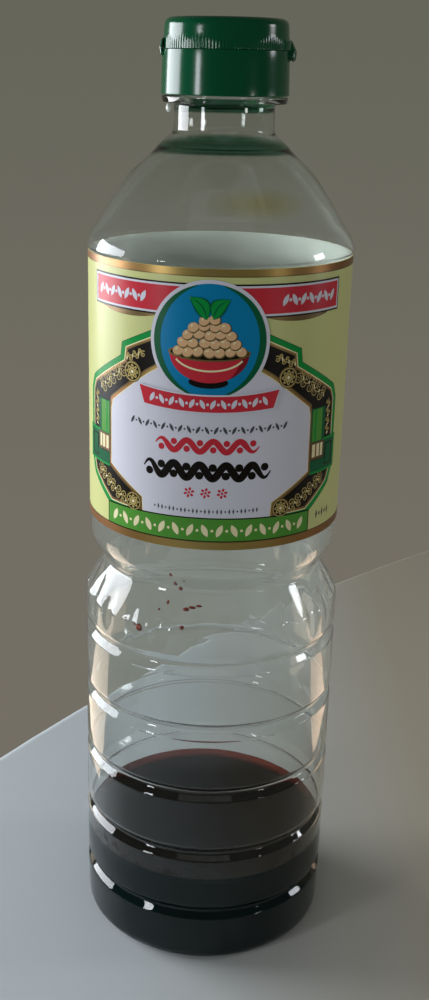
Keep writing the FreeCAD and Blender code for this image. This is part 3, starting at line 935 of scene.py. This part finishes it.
        def field(grow):
            return box(middle - half - grow, middle + half + grow, low - grow, high + grow) * MM
        for ink, grow, layer in (("black", 0.45, 3), ("panel", 0.0, 4), ("red", -0.55, 5)):
            inks[ink].fill(self.dense(field(grow), field(0.0)), layer * LAYER)
        for left, right in ((-35.5, -14.0), (15.5, 36.5)):
            t = np.linspace(0, 1, 30)
            u = left + (right - left) * t
            depth = 1.5 * np.sin(math.pi * t) ** 0.6
            top = np.column_stack([u, np.full(30, 65.7)])
            inks["bronze"].between(top * MM, (top - np.column_stack([0 * u, depth])) * MM, 2 * LAYER, closed=False)
        for left, right in ((-36.0, -19.0), (20.6, 37.8)):
            self.leaf_row(inks["panel"], row_places(left, right, 13, 70.0), (1.75, 0.72), 0.45, 26, 6)

    def medallion(self, inks):
        """The round picture: a white rim, a blue field with green shading at its sides, a red bowl heaped with
        beans, and two leaves; under it the curved red ribbon with a row of beads."""
        middle, field = np.array([0.0, 59.2]) * MM, 15.35
        for ink, radius, layer in (("panel", field + 1.0, 10), ("blue", field, 11)):
            inks[ink].fill(oval(middle, radius * MM, radius * MM, count=120), layer * LAYER, middle=middle)
        for mirror in (-1.0, 1.0):
            a = np.linspace(-1.35, 1.35, 60)
            way = np.stack([mirror * np.cos(a), np.sin(a)], 1) * MM
            inner = field - 1.9 * np.clip(np.cos(a * FULL_TURN / 5.6), 0, 1) ** 0.8
            inks["forest"].between(way * field + middle, way * inner[:, None] + middle, 12 * LAYER, closed=False)
        self.bowl(inks, middle)
        t = np.linspace(-1, 1, 60)
        reach, spine = 18.9, 42.2 + 1.3 * t ** 2
        for ink, grow, layer in (("panel", 0.45, 21), ("red", 0.0, 22)):
            half = 2.2 + 0.3 * t ** 2 + grow
            top = np.column_stack([(reach + grow) * t + 0.8 * t, spine + half])
            low = np.column_stack([(reach + grow) * t - 0.8 * t, spine - half])
            inks[ink].between(top * MM, low * MM, layer * LAYER, closed=False)
        self.leaf_row(inks["panel"], row_places(-15.6, 15.6, 23, 42.2, 1.3, reach), (1.45, 0.62), 0.4, 26, 23)

    def bowl(self, inks, middle):
        """A red bowl whose side is a half oval, with a cream band and a dark foot, a heap of beans with a shaded
        edge, and two leaves."""
        grow = 1.28

        def at(x, y):
            return middle + np.array([x, y]) * grow * MM

        def spot(ink, x, y, across, up, lift, lean=0.0, count=24):
            inks[ink].fill(oval(at(x, y), across * grow * MM, up * grow * MM, lean=lean, count=count), lift * LAYER)
        brim, a = -2.4, np.linspace(math.pi, FULL_TURN, 40)
        curve = np.stack([8.4 * np.cos(a), 6.3 * np.sin(a)], 1)
        spot("black", 0.0, -8.6, 4.2, 1.3, 12)
        side = curve * grow * MM + at(0.0, brim)
        rim = np.column_stack([side[:, 0], np.full(40, side[0, 1])])
        inks["red"].between(rim, side, 13 * LAYER, closed=False)
        shaded = side[26:]
        swell = np.sin(np.linspace(0, math.pi / 2, len(shaded)))[:, None]
        lit = shaded + np.array([-1.5, 0.75]) * grow * MM * swell
        inks["maroon"].between(shaded, lit, 13.4 * LAYER, closed=False)
        spot("bronze", 0.0, brim, 8.7, 1.75, 13.6, count=40)
        spot("black", 0.0, brim, 8.2, 1.4, 13.9, count=40)
        inks["cream"].line(curve[5:-5] * (0.9, 0.6) * grow * MM + at(0.0, brim), 0.5 * MM, 14 * LAYER)
        rng = np.random.default_rng(7)
        for row, (count, height) in enumerate(((7, -2.2), (6, -0.3), (5, 1.5), (4, 3.1), (2, 4.6))):
            for index in range(count):
                x = (index - (count - 1) / 2) * 2.2 + rng.uniform(-0.2, 0.2)
                y, lean = height + rng.uniform(-0.2, 0.2), rng.uniform(-0.7, 0.7)
                spot("bronze", x + 0.1, y - 0.14, 1.27, 1.12, 14.4 + row * 0.9, lean)
                spot("bean", x, y, 1.14, 0.98, 14.7 + row * 0.9, lean)
                spot("cream", x - 0.32, y + 0.34, 0.36, 0.2, 15.0 + row * 0.9, lean + 0.5, count=10)
        for mirror, base, reach in ((-1.0, (-0.5, 4.6), 6.0), (1.0, (0.7, 4.7), 5.4)):
            t = np.linspace(0, 1, 24)
            tilt = math.radians(50.0)
            way = np.array([mirror * math.cos(tilt), math.sin(tilt)])
            normal = np.array([-way[1], way[0]])
            spine = np.array(base) + way * reach * t[:, None] + normal * (mirror * 0.9 * np.sin(math.pi * t))[:, None]
            half = (1.7 * np.sin(math.pi * t ** 0.85))[:, None] * normal
            for ink, near, far, layer in (("forest", 1, -1, 18.6), ("leaf", 0.8, 0.1, 19.2), ("leaf", -0.1, -0.8, 19.2)):
                edges = ((spine + half * share) * grow * MM + middle for share in (near, far))
                inks[ink].between(*edges, layer * LAYER, closed=False)


# ---------------------------------------------------------------- the cap

SKIRT_WALL, SEAT_WALL, LID_WALL = 1.6 * MM, 1.75 * MM, 1.4 * MM
DECK_RISE, LEDGE_WIDTH, LEDGE_RISE = 1.4 * MM, 1.2 * MM, 1.0 * MM
SPOUT_BORE, SPOUT_OUTER, SPOUT_LIP = 4.6 * MM, 5.9 * MM, 6.6 * MM
SPOUT_FLARE, SPOUT_RISE = 3.7 * MM, 4.7 * MM
PLUG_BORE, PLUG_OUTER, PLUG_REACH = 3.0 * MM, 4.1 * MM, 3.8 * MM
HINGE_HALF = 4.5 * MM


class SAUCEBOTTLE_OT_cap_base(bpy.types.Operator):
    """Make the cap's pressed-on lower part: skirt, deck and pouring spout"""
    bl_idname = "saucebottle.cap_base"
    bl_label = "Cap skirt and spout"

    def execute(self, context):
        c, b = context.scene.cap_settings, context.scene.bottle_sizes
        bore, deck, floor = c.skirt_bottom - SKIRT_WALL, b.mouth + DECK_RISE, b.mouth + 0.02 * MM
        inner_rim = c.lid - SEAT_WALL
        section = rounded_profile([
            (SPOUT_BORE, floor, 0.0), (bore, floor, 0.0), (bore, c.skirt_foot, 0.3 * MM),
            (c.skirt_bottom, c.skirt_foot, 0.35 * MM), (c.skirt_top, c.seat, 0.12 * MM),
            (inner_rim, c.seat, 0.1 * MM), (inner_rim, deck + LEDGE_RISE, 0.3 * MM),
            (inner_rim - LEDGE_WIDTH, deck + LEDGE_RISE, 0.3 * MM), (inner_rim - LEDGE_WIDTH, deck, 0.4 * MM),
            (SPOUT_OUTER, deck, 0.8 * MM), (SPOUT_OUTER, deck + SPOUT_FLARE, 0.6 * MM),
            (SPOUT_LIP, deck + SPOUT_RISE, 0.15 * MM), (SPOUT_BORE, deck + SPOUT_RISE, 0.3 * MM),
            (SPOUT_BORE, floor, 0.0),
        ], step=3.0 * MM, bend=math.radians(15))[:-1]
        mesh = shell_of("cap_skirt", section, SKIRT_STEPS, closed=True)
        piece("cap_skirt", mesh, "root", [moulded_cap(c)], ["cap_base"])
        return {"FINISHED"}


class SAUCEBOTTLE_OT_cap_lid(bpy.types.Operator):
    """Make the hinged lid: a hollow cup with a rounded top edge, a finely ribbed band, a sealing plug and a thumb
    tab"""
    bl_idname = "saucebottle.cap_lid"
    bl_label = "Hinged lid"

    def execute(self, context):
        c = context.scene.cap_settings
        low = c.seat + c.seam
        ribs_top = low + c.knurl_height
        roof, bore, plug = c.top - LID_WALL, c.lid - LID_WALL, c.top - PLUG_REACH
        profile = rounded_profile([
            (0.0, roof, 0.0), (PLUG_BORE, roof, 0.3 * MM), (PLUG_BORE, plug, 0.3 * MM), (PLUG_OUTER, plug, 0.3 * MM),
            (PLUG_OUTER, roof, 0.3 * MM), (bore - 0.2 * MM, roof, 1.0 * MM), (bore, low, 0.2 * MM),
            (c.lid, low, 0.1 * MM), (c.lid, ribs_top, 0.0), (c.lid_top, c.top, c.corner), (0.0, c.top, 0.0),
        ], step=0.7 * MM, bend=math.radians(12))

        def ribs(angle, radius, height):
            share = np.clip((ribs_top + 0.5 * MM - height) / (1.6 * MM), 0, 1)
            wave = np.clip(0.5 + 0.9 * np.sin(angle * c.knurl_count), 0, 1)
            from_hinge = np.abs(np.abs(np.mod(angle, FULL_TURN)) - math.pi) * c.lid
            hinge = np.clip((from_hinge - 5.6 * MM) / (0.3 * MM), 0, 1)
            outside = radius > c.lid - 0.4 * MM
            return radius + outside * share * hinge * c.knurl_depth * (0.5 + 0.5 * wave)
        mesh = shell_of("cap_flip", profile, LID_STEPS, ribs)
        material = moulded_cap(c)
        piece("cap_flip", mesh, "lid", [material], ["cap_lid"])
        self.tab(c, low, ribs_top, material)
        self.web(c, material)
        return {"FINISHED"}

    def tab(self, c, low, high, material):
        """The thumb tab: a wide pad on the ribbed band and a tongue that hooks down over the skirt. Each is a
        rounded section carried round the cap's axis; its reach past the lid fades to nothing at both ends by the
        fourth root of one minus the angle's fourth power."""
        inside, pad_reach, reach = c.lid - 0.6 * MM, c.lid + 0.75 * MM, c.lid + 2.15 * MM
        pad = [
            (inside, high + 0.1 * MM, 0.1 * MM), (pad_reach, high - 0.35 * MM, 0.45 * MM),
            (pad_reach, low, 0.25 * MM), (inside, low, 0.1 * MM),
        ]
        tongue = [
            (inside, high + 0.1 * MM, 0.1 * MM), (c.lid + 0.8 * MM, high - 0.2 * MM, 0.6 * MM),
            (reach, low - 0.3 * MM, 1.6 * MM), (reach - 0.25 * MM, low - 2.5 * MM, 0.6 * MM),
            (reach - 1.35 * MM, low - 3.0 * MM, 0.35 * MM), (reach - 1.35 * MM, low, 0.25 * MM),
            (inside, low, 0.1 * MM),
        ]
        points, quads, fans, count = [], [], [], 0
        for section, half in ((pad, math.radians(27)), (tongue, math.radians(12))):
            ring = rounded_profile(section + [section[0]], step=0.5 * MM, bend=math.radians(15))[:-1]
            share = np.linspace(-1, 1, 41)
            fade = ((1 - share ** 4) ** 0.25 * 0.98 + 0.02)[:, None]
            r = inside + (ring[None, :, 0] - inside) * fade
            z = np.where(ring[None, :, 1] < low, low + (ring[None, :, 1] - low) * fade, ring[None, :, 1] + 0 * fade)
            a = (share * half)[:, None]
            grid = np.stack([r * np.cos(a), r * np.sin(a), z], -1)
            rows, columns = r.shape
            points += [grid.reshape(-1, 3), grid[0].mean(0)[None], grid[-1].mean(0)[None]]
            quads.append(grid_faces(rows, columns, around=True, first=count))
            for middle, row in ((count + rows * columns, 0), (count + rows * columns + 1, rows - 1)):
                ends = count + row * columns + np.arange(columns)
                fan = np.stack([np.full(columns, middle), ends, np.roll(ends, -1)], 1)
                fans.append(fan if row else fan[:, ::-1])
            count += rows * columns + 2
        mesh = mesh_of("thumb_tab", np.concatenate(points), quads + fans)
        piece("thumb_tab", mesh, "lid", [material])

    def web(self, c, material):
        """The living hinge: a thin strap with a soft bulge, its section in the plane across the hinge carried along
        the hinge's width."""
        x, z = -c.lid, c.seat + c.seam / 2
        foot, head = (x + 0.4 * MM, z - 2.2 * MM, 0.0), (x + 0.3 * MM, z + 2.9 * MM, 0.0)
        outside = rounded_profile([
            foot, (x - 0.55 * MM, z - 1.7 * MM, 0.4 * MM), (x - 0.95 * MM, z + 0.4 * MM, 0.7 * MM),
            (x - 0.35 * MM, z + 2.5 * MM, 0.5 * MM), head,
        ], step=0.3 * MM)
        inside = rounded_profile([head, (x - 0.1 * MM, z + 0.4 * MM, 0.4 * MM), foot], step=0.3 * MM)
        ring = np.concatenate([outside[:-1], inside[:-1]])
        share = np.linspace(-1, 1, 25)
        fade = (1 - share ** 6) ** (1 / 6) * 0.97 + 0.03
        middle = ring.mean(0)
        section = middle + (ring[None] - middle) * fade[:, None, None]
        sideways = np.repeat((share * HINGE_HALF)[:, None], len(ring), axis=1)
        points = np.stack([section[..., 0], sideways, section[..., 1]], -1).reshape(-1, 3)
        rows, columns = sideways.shape
        tips = [[middle[0], -HINGE_HALF, middle[1]], [middle[0], HINGE_HALF, middle[1]]]
        points = np.concatenate([points, tips])
        first, last = np.arange(columns), (rows - 1) * columns + np.arange(columns)
        fans = [
            np.stack([np.full(columns, len(points) - 2), np.roll(first, -1), first], 1),
            np.stack([np.full(columns, len(points) - 1), last, np.roll(last, -1)], 1),
        ]
        mesh = mesh_of("hinge_web", points, [grid_faces(rows, columns, around=True)] + fans)
        web = piece("hinge_web", mesh, None, [material])
        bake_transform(web)


# ---------------------------------------------------------------- traces of sauce

def on_wall(radius, angle, height):
    """Points at a radius and a height, at an angle from the front: (r sin a, -r cos a, height)."""
    return np.stack([radius * np.sin(angle), -radius * np.cos(angle), height], -1).reshape(-1, 3)


def beads(name, spots, wall, material):
    """Small domes on the inside of the wall, which is a profile. Each spot is (angle from the front in degrees,
    height, width, length, thickness), sizes in millimetres: the dome's height is its thickness times the square
    root of one minus the squared distance from its middle, and it is longer above its middle than below."""
    turn, place, width, length_up, thickness = np.array(spots, dtype=float).T[:, :, None, None]
    rings, columns = 6, 20
    steps = np.arange(columns) / columns * FULL_TURN
    q, a = np.meshgrid(np.linspace(1, 0.12, rings), steps, indexing="ij")
    x, y = q * np.cos(a), q * np.sin(a)
    y = np.where(y < 0, y, y * 1.35)
    rise = np.sqrt(np.clip(1 - q ** 2, 0, 1))
    aim, centre, depth = np.radians(turn), place * MM, thickness * MM
    at_wall = np.interp(centre, wall[:, 1], wall[:, 0])
    height = centre + length_up / 2 * MM * y
    radius = np.interp(height, wall[:, 1], wall[:, 0]) - depth * rise
    domes = on_wall(radius, aim + width / 2 * MM * x / at_wall, height)
    tips, backs = on_wall(at_wall - depth, aim, centre), on_wall(at_wall, aim, centre)
    count, size = len(spots), rings * columns
    start = (np.arange(count) * size)[:, None]
    ring = np.arange(columns)
    following = np.roll(ring, -1)
    last, tip = start + (rings - 1) * columns, count * size + np.arange(count)[:, None] + 0 * ring
    quads = (grid_faces(rings, columns, around=True)[None] + start[..., None]).reshape(-1, 4)
    top = np.stack([tip, last + following, last + ring], -1).reshape(-1, 3)
    under = np.stack([tip + count, start + ring, start + following], -1).reshape(-1, 3)
    mesh = mesh_of(name, np.concatenate([domes, tips, backs]), [quads[:, ::-1], top, under])
    piece(name, mesh, "root", [material])


class SAUCEBOTTLE_OT_traces(bpy.types.Operator):
    """Leave the dried drops and runs of sauce on the inside of the wall, and the small nib under the neck's ring"""
    bl_idname = "saucebottle.traces"
    bl_label = "Drops of sauce"

    def execute(self, context):
        b, s = context.scene.bottle_sizes, context.scene.sauce_settings
        outside = body_profile(b)
        inner = outside[outside[:, 1] > 12 * MM] - (b.wall, 0)
        inner = inner[np.argsort(inner[:, 1], kind="stable")]
        dry = [
            (-18.6, 132.3, 0.9, 1.1, 0.25), (-17.6, 128.7, 1.0, 1.5, 0.3), (-15.4, 126.9, 1.3, 1.2, 0.3),
            (-20.7, 122.7, 0.8, 0.9, 0.25), (-12.8, 130.4, 0.5, 0.6, 0.2), (-32.0, 114.6, 2.2, 1.9, 0.35),
            (-34.6, 115.2, 0.9, 0.7, 0.25), (-11.4, 121.6, 1.8, 0.8, 0.25), (-8.6, 122.2, 2.2, 0.6, 0.2),
            (-5.4, 122.7, 1.8, 0.5, 0.2), (-12.2, 117.0, 1.3, 0.9, 0.3), (-24.4, 120.6, 0.6, 0.6, 0.2),
        ]
        material, tree, shader = finish("Soy sauce, dried drop", linear("#5a1c0c"), Roughness=0.2, IOR=1.38)
        relief(tree, shader, 0.5 * MM, 0.3, 0.1 * MM)
        beads("drops_dry", dry, inner, material)
        rng = np.random.default_rng(3)
        angle = np.concatenate([rng.uniform(*span) for span in ((-66, -38, 26), (-40, -6, 18), (30, 70, 12))])
        low = np.concatenate([rng.uniform(*span) for span in ((31.8, 35.6, 26), (31.4, 33.6, 18), (31.8, 34.4, 12))])
        width = rng.uniform(0.4, 1.1, len(angle))
        wet = np.stack([angle, low, width, width * rng.uniform(0.9, 2.4, len(angle)), np.full(len(angle), 0.22)], 1)
        material, _, _ = finish("Soy sauce, wet drop", linear("#1a0a06"), Roughness=0.06, IOR=1.38)
        beads("drops_wet", wet, inner, material)
        self.nib(b)
        return {"FINISHED"}

    def nib(self, b):
        """A small torn nib of the tamper strip, hanging under the left of the ring: a bead whose radii vary a
        little with the angle."""
        t = np.linspace(0, math.pi, 13)
        profile = np.stack([0.75 * MM * np.sin(t) ** 0.9, -1.25 * MM * np.cos(t)], 1)
        profile[[0, -1], 0] = 0.0
        points, faces = turned(profile, 20, lambda a, r, z: r * (1 + 0.18 * np.sin(3 * a + 900 * z)))
        points += (-15.4 * MM, -2.0 * MM, b.ring_bottom - 1.1 * MM)
        material, _, _ = finish(
            "PET, torn and whitened", linear("#dfe3dc"), Roughness=0.25, Transmission_Weight=0.5, IOR=1.46
        )
        piece("ring_nib", mesh_of("ring_nib", points, faces), "root", [material])


# ---------------------------------------------------------------- the stage

# Name, place, target, width and height in metres, watts and tint
LAMPS = (
    ("window_left", (-0.80, 0.26, 0.23), (0.0, 0.0, 0.15), (0.60, 0.47), 11.2, "#f4f8ff"),
    ("window_near", (-0.66, -0.56, 0.24), (0.0, 0.0, 0.16), (0.12, 0.32), 2.3, "#f6f9ff"),
    ("window_far", (0.62, -0.52, 0.17), (0.0, 0.0, 0.16), (0.09, 0.06), 0.3, "#ffffff"),
    ("window_right", (0.78, 0.03, 0.41), (0.0, 0.0, 0.20), (0.16, 0.11), 0.6, "#f7f9ff"),
    ("window_right_low", (0.80, 0.02, 0.17), (0.0, 0.0, 0.12), (0.16, 0.07), 0.4, "#f7f9ff"),
    ("warm_glow_left", (-0.20, 0.07, 0.004), (-0.20, 0.07, 1.0), (0.20, 0.09), 0.10, "#ffe9d2"),
    ("warm_glow_right", (0.20, 0.07, 0.004), (0.20, 0.07, 1.0), (0.16, 0.07), 0.05, "#ffd6b4"),
    ("room_fill", (0.0, -0.9, 1.2), (0.0, 0.0, 0.12), (1.2, 1.2), 2.1, "#fbfaf6"),
)
CAMERA_PLACE, CAMERA_SHIFT, SENSOR_WIDTH = (0.0, -0.3597, 0.2698), (0.0254, 0.0168), 36.0
CAMERA_PAN, CAMERA_PITCH, CAMERA_ROLL = math.radians(-1.18), math.radians(-20.2), math.radians(1.22)
TABLE_THICKNESS = 18 * MM

# Colours of the table's right side, painted darker and warmer as shade, of the backdrop through the lower body,
# painted lighter as light seen in the bottle, and of the dim room
PAINTED_SHADE_SIDE, PAINTED_LIGHT_THROUGH, ROOM = "#aca491", "#83857f", "#c4c8c8"


def lamp(name, place, target, size, energy, tint):
    """A rectangular area lamp at a place, turned to a target, size given as width and height in metres."""
    data = bpy.data.lights.new(name, "AREA")
    data.shape = "RECTANGLE"
    data.size, data.size_y = size
    data.energy = energy
    data.color = linear(tint)
    thing = bpy.data.objects.new(name, data)
    bpy.context.scene.collection.objects.link(thing)
    way = Vector(target) - Vector(place)
    thing.matrix_world = Matrix.Translation(place) @ way.to_track_quat("-Z", "Y").to_matrix().to_4x4()
    thing.visible_camera = False
    return thing


class SAUCEBOTTLE_OT_stage(bpy.types.Operator):
    """Set the round table top, the plain backdrop colour, the lamps and the camera"""
    bl_idname = "saucebottle.stage"
    bl_label = "Stage, light and camera"

    def execute(self, context):
        scene, s = context.scene, context.scene.stage_settings
        self.table(s)
        self.world(scene, s)
        lamps = {row[0]: lamp(*row) for row in LAMPS}
        lamps["window_left"].visible_transmission = False
        lamps["room_fill"].visible_glossy = False
        scene.view_settings.view_transform = "Standard"
        self.camera(scene, s)
        return {"FINISHED"}

    def table(self, s):
        """A round table top: a disc with a rounded edge, turned about its own middle, with painted shade that makes
        it darker and warmer towards its right.
        """
        foot = -TABLE_THICKNESS
        corners = [(0.0, foot, 0.0), (s.table, foot, 8 * MM), (s.table, 0.0, 6 * MM), (0.0, 0.0, 0.0)]
        profile = rounded_profile(corners, step=0.3)
        points, faces = turned(profile, TABLE_STEPS)
        points += (*s.table_middle, 0.0)
        thing = bpy.data.objects.new("stage_table", mesh_of("stage_table", points, faces))
        bpy.context.scene.collection.objects.link(thing)
        material, tree, shader = finish("Table top, matt white laminate", tuple(s.floor), Roughness=0.6)
        relief(tree, shader, 1.2 * MM, 0.05, 0.05 * MM)
        place = node(tree, "ShaderNodeTexCoord")
        apart = node(tree, "ShaderNodeSeparateXYZ", Vector=(place, "Object"))
        # Painted shade: the top turns to the darker, warmer colour to the right of the bottle
        share = node(tree, "ShaderNodeMapRange", {"From Min": -0.02, "From Max": 0.09}, Value=(apart, "X"))
        colours = {"data_type": "RGBA", 6: (*s.floor, 1.0), 7: (*linear(PAINTED_SHADE_SIDE), 1.0)}
        mix = node(tree, "ShaderNodeMix", colours, _0=(share, "Result"))
        tree.links.new(mix.outputs[2], shader.inputs["Base Color"])
        thing.data.materials.append(material)

    def world(self, scene, s):
        """The backdrop's colour where it is looked at or through, a little warmer lower down, and painted lighter
        there through the bottle, standing in for the light seen in its lower body, and a dim room for light and
        reflections, with the wall mirrored behind."""
        scene.world = bpy.data.worlds.new("Plain room")
        scene.world.use_nodes = True
        tree = scene.world.node_tree
        dim = tree.nodes["Background"]
        dim.inputs["Color"].default_value = (*linear(ROOM), 1.0)
        dim.inputs["Strength"].default_value = s.room
        place = node(tree, "ShaderNodeTexCoord")
        apart = node(tree, "ShaderNodeSeparateXYZ", Vector=(place, "Generated"))
        height = node(tree, "ShaderNodeMapRange", {"From Min": -0.35, "From Max": 0.02}, Value=(apart, "Z"))
        colours = {"data_type": "RGBA", 6: (*s.wall_low, 1.0), 7: (*s.wall, 1.0)}
        shade = node(tree, "ShaderNodeMix", colours, _0=(height, "Result"))
        ray = node(tree, "ShaderNodeLightPath")
        deep = node(tree, "ShaderNodeMapRange", {"From Min": -0.16, "From Max": -0.32}, Value=(apart, "Z"))
        through = node(
            tree, "ShaderNodeMath", {"operation": "MULTIPLY"}, _0=(ray, "Is Transmission Ray"), _1=(deep, "Result")
        )
        # Painted light: low directions seen through the bottle's wall get a lighter colour
        lighter = {"data_type": "RGBA", 7: (*linear(PAINTED_LIGHT_THROUGH), 1.0)}
        softened = node(tree, "ShaderNodeMix", lighter, _0=(through, "Value"), _6=(shade, 2))
        seen = node(tree, "ShaderNodeBackground", Color=(softened, 2))
        either = node(
            tree, "ShaderNodeMath", {"operation": "MAXIMUM"}, _0=(ray, "Is Camera Ray"),
            _1=(ray, "Is Transmission Ray")
        )
        behind = node(tree, "ShaderNodeMapRange", {"From Min": -0.1, "From Max": 0.35}, Value=(apart, "Y"))
        mirrored_wall = node(
            tree, "ShaderNodeMath", {"operation": "MULTIPLY"}, _0=(ray, "Is Glossy Ray"), _1=(behind, "Result")
        )
        share = node(
            tree, "ShaderNodeMath", {"operation": "MAXIMUM"}, _0=(either, "Value"), _1=(mirrored_wall, "Value")
        )
        mix = node(tree, "ShaderNodeMixShader", _0=(share, "Value"), _1=(dim, "Background"), _2=(seen, "Background"))
        tree.links.new(mix.outputs["Shader"], tree.nodes["World Output"].inputs["Surface"])

    def camera(self, scene, s):
        """Looks down at the bottle from the front, with the shift that frames it."""
        data = bpy.data.cameras.new("camera")
        data.sensor_fit, data.sensor_width, data.lens = "AUTO", SENSOR_WIDTH, s.lens
        data.shift_x, data.shift_y = CAMERA_SHIFT
        data.clip_start = 0.01
        pan, pitch, roll = CAMERA_PAN, CAMERA_PITCH, CAMERA_ROLL
        ahead = Vector((math.sin(pan) * math.cos(pitch), math.cos(pan) * math.cos(pitch), math.sin(pitch)))
        level = Vector((math.cos(pan), -math.sin(pan), 0.0))
        up = level.cross(ahead)
        right = math.cos(roll) * level + math.sin(roll) * up
        up = -math.sin(roll) * level + math.cos(roll) * up
        turn = Matrix((right, up, -ahead)).transposed().to_4x4()
        thing = bpy.data.objects.new("camera", data)
        scene.collection.objects.link(thing)
        thing.matrix_world = Matrix.Translation(CAMERA_PLACE) @ turn
        scene.camera = thing


class SAUCEBOTTLE_PT_panel(bpy.types.Panel):
    """Lists the bottle's pieces in the order they are made"""
    bl_idname = "SAUCEBOTTLE_PT_panel"
    bl_label = "Sauce Bottle"
    bl_space_type = "VIEW_3D"
    bl_region_type = "UI"
    bl_category = "Sauce Bottle"

    def draw(self, context):
        for operator in OPERATORS:
            self.layout.operator(operator.bl_idname)
        for _, name, title in SETTINGS:
            part = self.layout.box()
            part.label(text=title)
            for key in getattr(context.scene, name).__annotations__:
                part.prop(getattr(context.scene, name), key)


SETTINGS = [
    (BottleSizes, "bottle_sizes", "Bottle"),
    (SauceSettings, "sauce_settings", "Sauce"),
    (LabelSettings, "label_settings", "Label"),
    (CapSettings, "cap_settings", "Cap"),
    (StageSettings, "stage_settings", "Stage"),
]
OPERATORS = [
    SAUCEBOTTLE_OT_stage, SAUCEBOTTLE_OT_bottle, SAUCEBOTTLE_OT_sauce, SAUCEBOTTLE_OT_label, SAUCEBOTTLE_OT_print,
    SAUCEBOTTLE_OT_cap_base, SAUCEBOTTLE_OT_cap_lid, SAUCEBOTTLE_OT_traces,
]


def register():
    for group, name, _ in SETTINGS:
        bpy.utils.register_class(group)
        setattr(bpy.types.Scene, name, bpy.props.PointerProperty(type=group))
    for operator in OPERATORS:
        bpy.utils.register_class(operator)
    bpy.utils.register_class(SAUCEBOTTLE_PT_panel)


def unregister():
    bpy.utils.unregister_class(SAUCEBOTTLE_PT_panel)
    for operator in reversed(OPERATORS):
        bpy.utils.unregister_class(operator)
    for group, name, _ in reversed(SETTINGS):
        delattr(bpy.types.Scene, name)
        bpy.utils.unregister_class(group)


def main():
    register()
    for operator in OPERATORS:
        family, action = operator.bl_idname.split(".")
        getattr(getattr(bpy.ops, family), action)()


if __name__ == "__main__":
    main()
